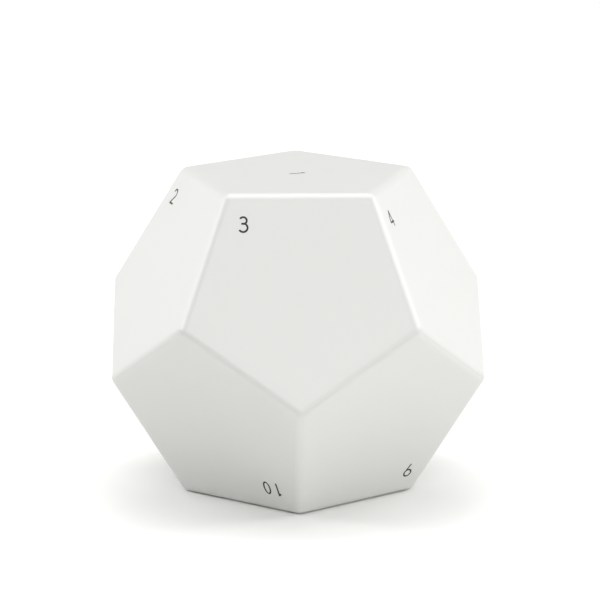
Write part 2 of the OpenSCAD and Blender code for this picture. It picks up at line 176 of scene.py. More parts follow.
class ShaderKit:
    """One material under construction, with helpers that add nodes to it."""

    def __init__(self, name: str) -> None:
        """Starts a material with a Principled shader.

        Args:
            name: Name of the material.
        """
        self.material = bpy.data.materials.new(name)
        self.material.use_nodes = True
        self.tree = self.material.node_tree
        self.shader = self.tree.nodes["Principled BSDF"]

    def node(
        self, kind: str, settings: dict[str, Any] | None = None, inputs: dict[Any, Any] | None = None
    ) -> bpy.types.Node:
        """Adds a node.

        Args:
            kind: Blender's type name of the node.
            settings: Properties of the node, which are set first.
            inputs: Values or links by the socket's name or number.

        Returns:
            The new node.
        """
        node = self.tree.nodes.new(kind)
        for key, value in (settings or {}).items():
            setattr(node, key, value)
        for key, value in (inputs or {}).items():
            self.feed(node.inputs[key], value)
        return node

    def feed(self, socket: bpy.types.NodeSocket, value: Any) -> None:
        """Links a socket, or sets its own value.

        Args:
            socket: The input to feed.
            value: A signal, an output socket, a colour or a number.
        """
        if isinstance(value, Signal):
            self.tree.links.new(value.socket, socket)
        elif isinstance(value, bpy.types.NodeSocket):
            self.tree.links.new(value, socket)
        elif isinstance(value, tuple) and len(value) == 3 and socket.type == "RGBA":
            socket.default_value = (*value, 1.0)
        else:
            socket.default_value = value

    def place(self, centre: Vector = Vector(), stretch: Colour = (1.0, 1.0, 1.0)) -> bpy.types.NodeSocket:
        """Object coordinates about a centre.

        Args:
            centre: Point that becomes the origin of the pattern.
            stretch: Factor along each axis.

        Returns:
            The coordinates.
        """
        coordinates = self.node("ShaderNodeTexCoord").outputs["Object"]
        moved = self.node(
            "ShaderNodeVectorMath", {"operation": "SUBTRACT"}, {0: coordinates, 1: tuple(centre)}
        )
        grown = self.node(
            "ShaderNodeVectorMath",
            {"operation": "MULTIPLY"},
            {0: moved.outputs[0], 1: stretch},
        )
        return grown.outputs[0]

    def axes(self, place: bpy.types.NodeSocket) -> tuple[Signal, Signal, Signal]:
        """The three coordinates as numbers.

        Args:
            place: The coordinates.

        Returns:
            X, Y and Z.
        """
        node = self.node("ShaderNodeSeparateXYZ", inputs={0: place})
        return tuple(Signal(self, output) for output in node.outputs)

    def noise(
        self, place: bpy.types.NodeSocket, size: float, detail: float = 3.0, roughness: float = 0.55
    ) -> Signal:
        """Fractal noise.

        Args:
            place: The coordinates.
            size: Length of its largest features.
            detail: Number of finer layers.
            roughness: Weight of the finer layers.

        Returns:
            Noise from nought to one.
        """
        node = self.node(
            "ShaderNodeTexNoise",
            inputs={"Vector": place, "Scale": 1.0 / size, "Detail": detail, "Roughness": roughness},
        )
        return Signal(self, node.outputs["Fac"])

    def cells(self, place: bpy.types.NodeSocket, size: float, jitter: float = 1.0) -> Signal:
        """Distance to the nearest point of a scatter, in cell widths.

        Args:
            place: The coordinates.
            size: Width of a cell.
            jitter: Nought for a square grid, one for a random scatter.

        Returns:
            The distance.
        """
        node = self.node(
            "ShaderNodeTexVoronoi",
            inputs={"Vector": place, "Scale": 1.0 / size, "Randomness": jitter},
        )
        return Signal(self, node.outputs["Distance"])

    def blend(self, mask: Number, low: Any, high: Any) -> bpy.types.NodeSocket:
        """Mixes two colours.

        Args:
            mask: Nought for the first, one for the second.
            low: First colour.
            high: Second colour.

        Returns:
            The mixed colour.
        """
        node = self.node("ShaderNodeMix", {"data_type": "RGBA"})
        self.feed(node.inputs[0], mask)
        self.feed(node.inputs[6], low)
        self.feed(node.inputs[7], high)
        return node.outputs[2]

    def bump(self, height: Signal, depth: float) -> bpy.types.NodeSocket:
        """Turns a height from nought to one into a normal.

        Args:
            height: The height.
            depth: Its real depth.

        Returns:
            The normal.
        """
        node = self.node("ShaderNodeBump", inputs={"Height": height, "Distance": depth, "Strength": 1.0})
        return node.outputs[0]

    def finish(self, varying: dict[str, Any], fixed: dict[str, Any] | None = None) -> bpy.types.Material:
        """Feeds the shader.

        Args:
            varying: What changes over the surface, by socket.
            fixed: What is the same everywhere, by socket.

        Returns:
            The finished material.
        """
        for key, value in {**varying, **(fixed or {})}.items():
            self.feed(self.shader.inputs[key], value)
        return self.material


# ---------------------------------------------------------------------------------------------
# Finishes
# ---------------------------------------------------------------------------------------------


@dataclass(frozen=True)
class Finish:
    """Base of all finishes: a name and a colour."""

    name: str
    colour: Colour

    def shaded(self, share: float) -> Colour:
        """The colour made lighter or darker by a factor."""
        return tuple(min(1.0, channel * share) for channel in self.colour)


@dataclass(frozen=True)
class SatinShell(Finish):
    """Milky moulded plastic with a fine spark-eroded skin that lets a little light in."""

    roughness: float = 0.31
    skin: float = 0.5 * MM
    skin_depth: float = 0.0005 * MM
    flow: float = 26 * MM
    scatter: float = 0.12
    scatter_length: float = 2.4 * MM

    def material(self) -> bpy.types.Material:
        """Builds the material."""
        kit = ShaderKit(self.name)
        place = kit.place()
        skin = kit.noise(place, self.skin, 1.0)
        flow = kit.noise(place, self.flow, 2.0)
        handled = kit.noise(place, 12 * MM, 2.0)
        tone = kit.blend(flow, self.shaded(0.988), self.shaded(1.006))
        return kit.finish(
            {
                "Base Color": kit.blend(handled.ramp(0.55, 0.8) * 0.3, tone, self.shaded(0.97)),
                "Roughness": self.roughness + (handled - 0.5) * 0.03 + (flow - 0.5) * 0.02,
                "Normal": kit.bump(skin, self.skin_depth),
            },
            {
                "Subsurface Weight": self.scatter,
                "Subsurface Radius": (1.0, 0.95, 0.9),
                "Subsurface Scale": self.scatter_length,
                "IOR": 1.49,
            },
        )


@dataclass(frozen=True)
class MouldedPlastic(Finish):
    """Matt moulded plastic with an even grain."""

    roughness: float = 0.5
    grain: float = 0.5 * MM
    grain_depth: float = 0.006 * MM

    def material(self) -> bpy.types.Material:
        """Builds the material."""
        kit = ShaderKit(self.name)
        place = kit.place()
        grain = kit.noise(place, self.grain, 4.0)
        cloud = kit.noise(place, 30 * self.grain, 3.0)
        return kit.finish(
            {
                "Base Color": kit.blend(cloud, self.shaded(0.93), self.shaded(1.04)),
                "Roughness": self.roughness + (cloud - 0.5) * 0.12 + (grain - 0.5) * 0.08,
                "Normal": kit.bump(grain, self.grain_depth),
            }
        )


@dataclass(frozen=True)
class InlaidInk(Finish):
    """Near-black filling of the numerals, a little uneven like a printed fill."""

    def material(self) -> bpy.types.Material:
        """Builds the material."""
        kit = ShaderKit(self.name)
        place = kit.place()
        fibre = kit.noise(place, 0.25 * MM, 5.0, 0.7)
        return kit.finish(
            {
                "Base Color": kit.blend(fibre, self.shaded(0.8), self.shaded(1.25)),
                "Roughness": 0.55 + fibre * 0.2,
                "Normal": kit.bump(fibre, 0.004 * MM),
            }
        )


@dataclass(frozen=True)
class PlatedMetal(Finish):
    """Bright plated or rolled metal with drawing lines along one axis and faint tarnish."""

    roughness: float = 0.24
    lines: Colour = (0.06, 1.0, 1.0)
    line: float = 0.12 * MM
    line_depth: float = 0.0015 * MM
    tarnish: float = 0.82

    def material(self) -> bpy.types.Material:
        """Builds the material."""
        kit = ShaderKit(self.name)
        drawn = kit.noise(kit.place(stretch=self.lines), self.line, 3.0)
        cloud = kit.noise(kit.place(), 3.5 * MM, 4.0, 0.6)
        return kit.finish(
            {
                "Base Color": kit.blend(cloud.ramp(0.35, 0.75), self.shaded(self.tarnish), self.colour),
                "Roughness": self.roughness + (drawn - 0.5) * 0.14 + (cloud - 0.5) * 0.16,
                "Normal": kit.bump(drawn, self.line_depth),
            },
            {"Metallic": 1.0},
        )


@dataclass(frozen=True)
class SolderMask(Finish):
    """Lacquer over copper tracks, with the tracks showing as raised lines and bare vias."""

    pitch: float = 1.6 * MM
    track: float = 0.32 * MM
    copper: Colour = (0.83, 0.62, 0.33)

    def material(self) -> bpy.types.Material:
        """Builds the material."""
        kit = ShaderKit(self.name)
        place = kit.place()
        x, y, _ = kit.axes(place)
        region = kit.noise(place, 9 * MM, 0.0)
        lengthways = (x.wrapped(self.pitch) < self.track / 2) * (region > 0.52)
        crossways = (y.wrapped(self.pitch) < self.track / 2) * (region < 0.46)
        tracks = lengthways | crossways
        via = kit.cells(place, 2.6 * MM, 0.9) < 0.11
        weave = kit.noise(place, 0.6 * MM, 4.0)
        lacquer = kit.blend(tracks, self.colour, self.shaded(0.86))
        lacquer = kit.blend(weave * 0.4, lacquer, self.shaded(0.93))
        return kit.finish(
            {
                "Base Color": kit.blend(via, lacquer, self.copper),
                "Metallic": via * 0.9,
                "Roughness": 0.38 + (weave - 0.5) * 0.15 - via * 0.1,
                "Normal": kit.bump(tracks * 0.8 + weave * 0.15 - via * 0.5, 0.03 * MM),
            }
        )


@dataclass(frozen=True)
class ShrinkSleeve(Finish):
    """Printed shrink sleeve of a cell: a body colour, a band at the plus end and a polarity mark."""

    centre: Vector = field(default_factory=Vector)
    length: float = 50 * MM
    heading: float = 1.0
    band_colour: Colour = (0.86, 0.85, 0.82)
    mark: float = 3.2 * MM
    stroke: float = 0.8 * MM

    def material(self) -> bpy.types.Material:
        """Builds the material."""
        kit = ShaderKit(self.name)
        place = kit.place(self.centre)
        x, y, z = kit.axes(place)
        along = x * self.heading
        band = along > 0.28 * self.length
        thin = abs(along - 0.24 * self.length) < 0.5 * MM
        top = z > 0.0
        plus_x, minus_x = (along - 0.37 * self.length, along + 0.4 * self.length)
        arm = self.mark / 2
        plus = (abs(plus_x) < arm) * (abs(y) < self.stroke / 2) | (abs(plus_x) < self.stroke / 2) * (
            abs(y) < arm
        )
        minus = (abs(minus_x) < self.stroke / 2) * (abs(y) < arm)
        wrinkle = kit.noise(kit.place(stretch=(0.35, 1.0, 1.0)), 1.6 * MM, 4.0)
        scuff = kit.noise(kit.place(), 0.7 * MM, 6.0, 0.7)
        print_colour = kit.blend(band | thin, self.colour, self.band_colour)
        print_colour = kit.blend(plus * top, print_colour, self.shaded(0.5))
        print_colour = kit.blend(minus * top, print_colour, self.band_colour)
        return kit.finish(
            {
                "Base Color": kit.blend(scuff.ramp(0.62, 0.8) * 0.25, print_colour, (0.7, 0.7, 0.68)),
                "Roughness": 0.24 + (scuff - 0.5) * 0.2,
                "Normal": kit.bump(wrinkle, 0.02 * MM),
            },
            {"Coat Weight": 0.4, "Coat Roughness": 0.1},
        )


@dataclass(frozen=True)
class ClearLens(Finish):
    """Tinted clear resin of a light's dome."""

    def material(self) -> bpy.types.Material:
        """Builds the material."""
        kit = ShaderKit(self.name)
        cloud = kit.noise(kit.place(), 0.6 * MM, 3.0)
        return kit.finish(
            {
                "Base Color": kit.blend(cloud, self.shaded(0.92), self.shaded(1.05)),
                "Roughness": 0.08 + cloud * 0.08,
                "Normal": kit.bump(cloud, 0.004 * MM),
            },
            {"Transmission Weight": 0.35, "IOR": 1.5},
        )


class Finishes:
    """All finishes of the remote, each built once."""

    def __init__(self) -> None:
        """Builds every material."""
        self.shell = SatinShell("shell_satin_white", (0.625, 0.628, 0.61)).material()
        self.ink = InlaidInk("numeral_grey", (0.014, 0.0145, 0.016)).material()
        self.chassis = MouldedPlastic("chassis_grey", (0.72, 0.725, 0.72), 0.48).material()
        self.button = MouldedPlastic("button_white", (0.78, 0.78, 0.76), 0.35, 0.3 * MM).material()
        self.dark_plastic = MouldedPlastic("switch_plastic", (0.03, 0.03, 0.032), 0.45).material()
        self.epoxy = MouldedPlastic("package_black", (0.022, 0.022, 0.024), 0.55, 0.12 * MM).material()
        self.ceramic = MouldedPlastic("capacitor_brown", (0.5, 0.36, 0.22), 0.4, 0.1 * MM).material()
        self.pale_ceramic = MouldedPlastic("antenna_cream", (0.8, 0.78, 0.72), 0.45, 0.1 * MM).material()
        self.glaze = MouldedPlastic("resistor_glaze", (0.02, 0.025, 0.03), 0.2, 0.1 * MM).material()
        self.ferrite = MouldedPlastic("inductor_ferrite", (0.07, 0.07, 0.072), 0.6, 0.15 * MM).material()
        self.reflector = MouldedPlastic("light_reflector", (0.85, 0.84, 0.8), 0.4, 0.1 * MM).material()
        self.lens = ClearLens("light_lens", (0.9, 0.78, 0.35)).material()
        self.spring_steel = PlatedMetal("clip_steel", (0.56, 0.57, 0.58), 0.3, (1.0, 1.0, 0.08)).material()
        self.zinc = PlatedMetal("screw_zinc", (0.62, 0.63, 0.65), 0.28, (1.0, 1.0, 0.3)).material()
        self.nickel = PlatedMetal("bright_nickel", (0.72, 0.69, 0.62), 0.2, (1.0, 1.0, 0.1)).material()
        self.tin = PlatedMetal("lead_tin", (0.74, 0.74, 0.75), 0.22).material()
        self.can = PlatedMetal("cell_steel", (0.7, 0.7, 0.69), 0.22, (0.1, 1.0, 1.0)).material()
        self.mask = SolderMask("board_white_mask", (0.74, 0.75, 0.73)).material()
        self.radio_mask = SolderMask("radio_green_mask", (0.012, 0.11, 0.04), 0.9 * MM, 0.2 * MM).material()
        self.gold = PlatedMetal("pad_gold", (0.9, 0.68, 0.3), 0.25).material()


# ---------------------------------------------------------------------------------------------
# Mesh kit
# ---------------------------------------------------------------------------------------------


class Former:
    """Collects closed solids in one mesh and turns them into a finished piece."""

    def __init__(self) -> None:
        """Starts with an empty mesh."""
        self.mesh = bmesh.new()

    def block(self, low: Vector, high: Vector, edge: float = 0.0, paint: int = 0, steps: int = 2) -> None:
        """Adds a block with rounded edges.

        Args:
            low: Lowest corner.
            high: Highest corner.
            edge: Radius of its edges.
            paint: Material slot of its faces.
            steps: Segments of each rounded edge.
        """
        size = high - low
        place = Matrix.Translation((low + high) / 2) @ Matrix.Diagonal((*size, 1.0))
        made = bmesh.ops.create_cube(self.mesh, size=1.0, matrix=place)["verts"]
        faces = {face for vert in made for face in vert.link_faces}
        if edge > 0.0:
            edges = list({rim for vert in made for rim in vert.link_edges})
            made = bmesh.ops.bevel(
                self.mesh, geom=edges, offset=edge, segments=steps, profile=0.5, affect="EDGES"
            )["faces"]
            faces = {face for face in faces if face.is_valid} | set(made)
        for face in faces:
            face.material_index = paint

    def lathe(
        self, profile: Sequence[tuple[float, float]], place: Matrix, sides: int = 48, paint: int = 0
    ) -> None:
        """Turns a profile about an axis.

        Args:
            profile: Points (height, radius) that start and end on the axis or on each other.
            place: Where the turning axis goes: it is Z before it is placed.
            sides: Number of sides.
            paint: Material slot of its faces.
        """
        rings = []
        for height, radius in profile:
            count = sides if radius > 1e-7 else 1
            rings.append(
                [
                    self.mesh.verts.new(
                        place
                        @ Vector(
                            (
                                radius * math.cos(2 * math.pi * step / sides),
                                radius * math.sin(2 * math.pi * step / sides),
                                height,
                            )
                        )
                    )
                    for step in range(count)
                ]
            )
        for lower, upper in zip(rings, rings[1:]):
            self.band(lower, upper, sides, paint)
        if len(rings[0]) > 1:
            self.band(rings[-1], rings[0], sides, paint)

    def band(self, lower: list, upper: list, sides: int, paint: int) -> None:
        """Joins two rings, either of which may be one point."""
        for step in range(sides):
            after = (step + 1) % sides
            loop = [lower[step % len(lower)], lower[after % len(lower)]]
            loop += [upper[after % len(upper)], upper[step % len(upper)]]
            corners = list(dict.fromkeys(loop))
            if len(corners) > 2:
                self.mesh.faces.new(corners).material_index = paint

    def strip(self, line: Sequence[Vector], width: float, thickness: float) -> None:
        """Adds a bent strip of sheet metal.

        Args:
            line: Centreline in the X-Z plane.
            width: Width along Y.
            thickness: Thickness of the sheet.
        """
        rows = []
        for index, point in enumerate(line):
            before = line[max(index - 1, 0)]
            after = line[min(index + 1, len(line) - 1)]
            along = (after - before).normalized()
            across = Vector((-along.z, 0.0, along.x)) * thickness / 2
            rows.append(
                [
                    self.mesh.verts.new(point + across * side + Vector((0.0, width / 2 * edge, 0.0)))
                    for side, edge in ((1, -1), (1, 1), (-1, 1), (-1, -1))
                ]
            )
        for lower, upper in zip(rows, rows[1:]):
            self.band(lower, upper, 4, 0)
        self.mesh.faces.new(rows[0])
        self.mesh.faces.new(rows[-1])

    def piece(
        self, name: str, paints: Sequence[bpy.types.Material] = (), sharp: float = 35.0
    ) -> bpy.types.Object:
        """Turns the collected solids into an object with outward faces.

        Args:
            name: Name of the object.
            paints: Materials by slot.
            sharp: Angle in degrees above which an edge stays sharp.

        Returns:
            The object.
        """
        bmesh.ops.remove_doubles(self.mesh, verts=self.mesh.verts, dist=1e-7)
        bmesh.ops.recalc_face_normals(self.mesh, faces=self.mesh.faces)
        data = bpy.data.meshes.new(name)
        self.mesh.to_mesh(data)
        self.mesh.free()
        for paint in paints:
            data.materials.append(paint)
        return finished(name, data, sharp)


def finished(name: str, data: bpy.types.Mesh, sharp: float = 35.0) -> bpy.types.Object:
    """Links a mesh to the scene as an object whose large faces look flat and whose rounds look round.

    Args:
        name: Name of the object.
        data: Its mesh.
        sharp: Angle in degrees above which an edge stays sharp.

    Returns:
        The object.
    """
    for spare in ("custom_normal", "turn", "size", "paint"):
        if spare in data.attributes:
            data.attributes.remove(data.attributes[spare])
    data.polygons.foreach_set("use_smooth", [True] * len(data.polygons))
    data.set_sharp_from_angle(angle=math.radians(sharp))
    rough = bpy.data.objects.new(name + "_plain", data)
    bpy.context.scene.collection.objects.link(rough)
    weights = rough.modifiers.new("weights", "WEIGHTED_NORMAL")
    weights.mode, weights.keep_sharp = "FACE_AREA", True
    made = bpy.data.objects.new(name, evaluated_mesh(rough, name))
    bpy.context.scene.collection.objects.link(made)
    return made


def drop_unused_slots(data: bpy.types.Mesh) -> None:
    """Removes the material slots of a mesh that no face uses."""
    indices = [polygon.material_index for polygon in data.polygons]
    used = sorted(set(indices))
    paints = [data.materials[index] for index in used if index < len(data.materials)]
    data.materials.clear()
    for paint in paints:
        data.materials.append(paint)
    data.polygons.foreach_set("material_index", [used.index(index) for index in indices])


def evaluated_mesh(source: bpy.types.Object, name: str) -> bpy.types.Mesh:
    """The mesh that an object has after its modifiers, which are then removed with the object.

    Args:
        source: The object.
        name: Name of the new mesh.

    Returns:
        The new mesh.
    """
    graph = bpy.context.evaluated_depsgraph_get()
    data = bpy.data.meshes.new_from_object(source.evaluated_get(graph), depsgraph=graph)
    data.name = name
    drop_unused_slots(data)
    bpy.data.objects.remove(source)
    return data


def merged_copy(node: str) -> bmesh.types.BMesh:
    """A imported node's mesh with its loose triangles merged into flat faces.

    Args:
        node: Name of the node.

    Returns:
        The merged mesh.
    """
    mesh = bmesh.new()
    mesh.from_mesh(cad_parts[node].data)
    bmesh.ops.remove_doubles(mesh, verts=mesh.verts, dist=2e-7)
    bmesh.ops.dissolve_limit(
        mesh, angle_limit=math.radians(0.4), verts=mesh.verts, edges=mesh.edges, use_dissolve_boundaries=False
    )
    return mesh


def refined(node: str, name: str, edge: float, paint: bpy.types.Material) -> bpy.types.Object:
    """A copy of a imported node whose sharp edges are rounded.

    Args:
        node: Name of the node.
        name: Name of the new piece.
        edge: Radius of its edges.
        paint: Its material.

    Returns:
        The piece.
    """
    mesh = merged_copy(node)
    data = bpy.data.meshes.new(name)
    mesh.to_mesh(data)
    mesh.free()
    data.materials.clear()
    data.materials.append(paint)
    rough = bpy.data.objects.new(name + "_rough", data)
    bpy.context.scene.collection.objects.link(rough)
    bevel = rough.modifiers.new("edges", "BEVEL")
    bevel.width = edge
    bevel.segments = 2
    bevel.limit_method = "ANGLE"
    bevel.angle_limit = math.radians(40.0)
    bevel.harden_normals = False
    return finished(name, evaluated_mesh(rough, name), 30.0)


def rounded_line(corners: Sequence[Vector], radius: float, steps: int = 5) -> list[Vector]:
    """A line of straight stretches whose bends are arcs.

    Args:
        corners: Corner points.
        radius: Radius of the bends.
        steps: Segments of each arc.

    Returns:
        The points of the line.
    """
    points = [corners[0]]
    for before, corner, after in zip(corners, corners[1:], corners[2:]):
        back, on = (before - corner).normalized(), (after - corner).normalized()
        half_turn = back.angle(on) / 2
        reach = min(
            radius / math.tan(half_turn), 0.45 * (before - corner).length, 0.45 * (after - corner).length
        )
        first, last = corner + back * reach, corner + on * reach
        for step in range(steps + 1):
            share = step / steps
            points.append(first.lerp(corner, share).lerp(corner.lerp(last, share), share))
    return points + [corners[-1]]


def polar(radius: float, degrees: float, height: float = 0.0) -> Vector:
    """A point by its distance from the Z axis, its azimuth and its height."""
    angle = math.radians(degrees)
    return Vector((radius * math.cos(angle), radius * math.sin(angle), height))


# ---------------------------------------------------------------------------------------------
# Geometry Nodes kit
# ---------------------------------------------------------------------------------------------


class Recipe:
    """A Geometry Nodes tree with named inputs, which ends in realised and painted geometry."""

    def __init__(self, name: str) -> None:
        """Starts a tree.

        Args:
            name: Name of the tree.
        """
        self.tree = bpy.data.node_groups.new(name, "GeometryNodeTree")
        self.tree.is_modifier = True
        for direction in ("INPUT", "OUTPUT"):
            self.tree.interface.new_socket(
                name="Geometry", in_out=direction, socket_type="NodeSocketGeometry"
            )
        self.inlet = self.tree.nodes.new("NodeGroupInput")
        self.outlet = self.tree.nodes.new("NodeGroupOutput")

    def input(self, name: str, kind: str = "Float") -> bpy.types.NodeSocket:
        """Adds a named input of a kind such as Float, Int, Object, Vector or Material."""
        self.tree.interface.new_socket(name=name, in_out="INPUT", socket_type="NodeSocket" + kind)
        return self.inlet.outputs[name]

    def node(
        self, kind: str, settings: dict[str, Any] | None = None, inputs: dict[Any, Any] | None = None
    ) -> bpy.types.NodeSocket:
        """Adds a node.

        Args:
            kind: Blender's type name of the node.
            settings: Properties of the node, which are set first.
            inputs: Values or links by the socket's name or number.

        Returns:
            The node's first output.
        """
        node = self.tree.nodes.new(kind)
        for key, value in (settings or {}).items():
            setattr(node, key, value)
        for key, value in (inputs or {}).items():
            if isinstance(value, bpy.types.NodeSocket):
                self.tree.links.new(value, node.inputs[key])
            else:
                node.inputs[key].default_value = value
        return next(output for output in node.outputs if output.enabled)

    def attribute(self, name: str, kind: str = "FLOAT_VECTOR") -> bpy.types.NodeSocket:
        """Reads a named attribute of the geometry."""
        return self.node("GeometryNodeInputNamedAttribute", {"data_type": kind}, {"Name": name})

    def close(self, geometry: bpy.types.NodeSocket, *paints: bpy.types.NodeSocket) -> None:
        """Ends the tree.

        Args:
            geometry: What has been made.
            *paints: Material of all faces, then of those whose attribute "paint" is 1, and so on.
        """
        painted = self.node("GeometryNodeRealizeInstances", inputs={"Geometry": geometry})
        for index, paint in enumerate(paints):
            inputs = {"Geometry": painted, "Material": paint}
            if index:
                inputs["Selection"] = self.node(
                    "FunctionNodeCompare",
                    {"data_type": "INT", "operation": "EQUAL"},
                    {2: self.attribute("paint", "INT"), 3: index},
                )
            painted = self.node("GeometryNodeSetMaterial", inputs=inputs)
        self.tree.links.new(painted, self.outlet.inputs[0])

    def cast(
        self,
        name: str,
        seeds: bpy.types.Mesh,
        values: dict[str, Any],
        sharp: float = 35.0,
    ) -> bpy.types.Object:
        """Runs the tree once and keeps its result as a plain mesh.

        Args:
            name: Name of the piece.
            seeds: Mesh that the tree starts from.
            values: Value of each named input.
            sharp: Angle in degrees above which an edge stays sharp.

        Returns:
            The piece.
        """
        holder = bpy.data.objects.new(name + "_seeds", seeds)
        bpy.context.scene.collection.objects.link(holder)
        modifier = holder.modifiers.new("recipe", "NODES")
        modifier.node_group = self.tree
        for item in self.tree.interface.items_tree:
            if item.in_out == "INPUT" and item.name in values:
                modifier[item.identifier] = values[item.name]
        return finished(name, evaluated_mesh(holder, name), sharp)


def seed_points(places: Iterable[Matrix]) -> bpy.types.Mesh:
    """Loose points that carry a turn and a size, one for each place.

    Args:
        places: Where each copy goes.

    Returns:
        The points.
    """
    rows = [place.decompose() for place in places]
    data = bpy.data.meshes.new("seeds")
    data.from_pydata([row[0] for row in rows], [], [])
    turns = data.attributes.new("turn", "FLOAT_VECTOR", "POINT")
    sizes = data.attributes.new("size", "FLOAT_VECTOR", "POINT")
    for index, (_, turn, size) in enumerate(rows):
        turns.data[index].vector = turn.to_euler()
        sizes.data[index].vector = size
    return data


class RepeatRecipe(Recipe):
    """Sets a copy of a stock piece on every seed point, turned and sized as the point says."""

    PAINTS = ("First Material", "Second Material", "Third Material")

    def __init__(self) -> None:
        """Builds the tree."""
        super().__init__("repeat_on_points")
        stock = self.input("Stock", "Object")
        weld = self.input("Weld Distance")
        paints = [self.input(name, "Material") for name in self.PAINTS]
        piece = self.tree.nodes.new("GeometryNodeObjectInfo")
        self.tree.links.new(stock, piece.inputs["Object"])
        copies = self.node(
            "GeometryNodeInstanceOnPoints",
            inputs={
                "Points": self.inlet.outputs["Geometry"],
                "Instance": piece.outputs["Geometry"],
                "Rotation": self.attribute("turn"),
                "Scale": self.attribute("size"),
            },
        )
        real = self.node("GeometryNodeRealizeInstances", inputs={"Geometry": copies})
        welded = self.node("GeometryNodeMergeByDistance", inputs={"Geometry": real, "Distance": weld})
        self.close(welded, *paints)

    def repeat(
        self,
        name: str,
        stock: bpy.types.Object,
        places: Iterable[Matrix],
        paints: Sequence[bpy.types.Material],
        weld: float = 0.0,
    ) -> bpy.types.Object:
        """Repeats a stock piece, which is then removed.

        Args:
            name: Name of the piece.
            stock: What is repeated.
            places: Where each copy goes.
            paints: One to three materials, in the order of the stock's slots.
            weld: Distance under which touching points are joined.

        Returns:
            The piece.
        """
        mark = stock.data.attributes.new("paint", "INT", "FACE")
        for index, polygon in enumerate(stock.data.polygons):
            mark.data[index].value = polygon.material_index
        values = {"Stock": stock, "Weld Distance": weld}
        for index, key in enumerate(self.PAINTS):
            values[key] = paints[min(index, len(paints) - 1)]
        made = self.cast(name, seed_points(places), values)
        bpy.data.objects.remove(stock)
        return made


class CoilRecipe(Recipe):
    """Winds a round wire into a conical coil about X, from a base to a tip."""

    def __init__(self) -> None:
        """Builds the tree."""
        super().__init__("conical_coil")
        turns, length = self.input("Turns"), self.input("Length")
        base, tip = self.input("Base Radius"), self.input("Tip Radius")
        wire = self.input("Wire Radius")
        place, turn = self.input("Place", "Vector"), self.input("Turn", "Vector")
        paint = self.input("Material", "Material")
        line = self.node(
            "GeometryNodeCurveSpiral",
            inputs={
                "Resolution": 28,
                "Rotations": turns,
                "Start Radius": base,
                "End Radius": tip,
                "Height": length,
            },
        )
        section = self.node("GeometryNodeCurvePrimitiveCircle", inputs={"Resolution": 12, "Radius": wire})
        tube = self.node(
            "GeometryNodeCurveToMesh", inputs={"Curve": line, "Profile Curve": section, "Fill Caps": True}
        )
        moved = self.node(
            "GeometryNodeTransform", inputs={"Geometry": tube, "Translation": place, "Rotation": turn}
        )
        self.close(moved, paint)


class ThreadRecipe(Recipe):
    """Adds a helical thread to a screw blank and sets one screw on every seed point."""

    def __init__(self) -> None:
        """Builds the tree."""
        super().__init__("threaded_screws")
        blank = self.input("Blank", "Object")
        radius, pitch = self.input("Shank Radius"), self.input("Pitch")
        length, depth = self.input("Thread Length"), self.input("Thread Depth")
        paint = self.input("Material", "Material")
        turns = self.node("ShaderNodeMath", {"operation": "DIVIDE"}, {0: length, 1: pitch})
        drop = self.node("ShaderNodeMath", {"operation": "MULTIPLY"}, {0: length, 1: -1.08})
        down = self.node("ShaderNodeCombineXYZ", inputs={"Z": drop})
        line = self.node(
            "GeometryNodeCurveSpiral",
            inputs={
                "Resolution": 20,
                "Rotations": turns,
                "Start Radius": radius,
                "End Radius": radius,
                "Height": length,
            },
        )
        ridge = self.node("GeometryNodeCurvePrimitiveCircle", inputs={"Resolution": 4, "Radius": depth})
        thread = self.node(
            "GeometryNodeCurveToMesh", inputs={"Curve": line, "Profile Curve": ridge, "Fill Caps": True}
        )
        thread = self.node("GeometryNodeTransform", inputs={"Geometry": thread, "Translation": down})
        piece = self.tree.nodes.new("GeometryNodeObjectInfo")
        self.tree.links.new(blank, piece.inputs["Object"])
        joined = self.tree.nodes.new("GeometryNodeJoinGeometry")
        for source in (thread, piece.outputs["Geometry"]):
            self.tree.links.new(source, joined.inputs[0])
        copies = self.node(
            "GeometryNodeInstanceOnPoints",
            inputs={
                "Points": self.inlet.outputs["Geometry"],
                "Instance": joined.outputs[0],
                "Rotation": self.attribute("turn"),
            },
        )
        self.close(copies, paint)


# ---------------------------------------------------------------------------------------------
# Sub-assemblies
# ---------------------------------------------------------------------------------------------


@dataclass
class Assembly:
    """Base of the sub-assemblies: knows the finishes and fits pieces to bodies."""

    finishes: Finishes
    repeater: RepeatRecipe

    def fit(self, piece: bpy.types.Object, body: Body, slot: str, *nodes: str) -> None:
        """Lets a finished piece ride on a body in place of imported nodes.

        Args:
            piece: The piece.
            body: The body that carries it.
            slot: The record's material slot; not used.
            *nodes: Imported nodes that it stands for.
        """
        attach(piece, body.value)
        if nodes:
            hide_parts(*nodes)
        LOG.info("%s rides on %s for %s", piece.name, body.value, ", ".join(nodes) or "nothing")

    def paint_node(self, node: str, paint: bpy.types.Material) -> None:
        """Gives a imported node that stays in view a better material."""
        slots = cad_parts[node].material_slots
        for entry in slots:
            entry.material = paint
        LOG.info("%s keeps its own mesh", node)


def centre_and_half(node: str) -> tuple[Vector, Vector]:
    """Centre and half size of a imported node's box."""
    low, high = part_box(node)
    return (low + high) / 2, (high - low) / 2


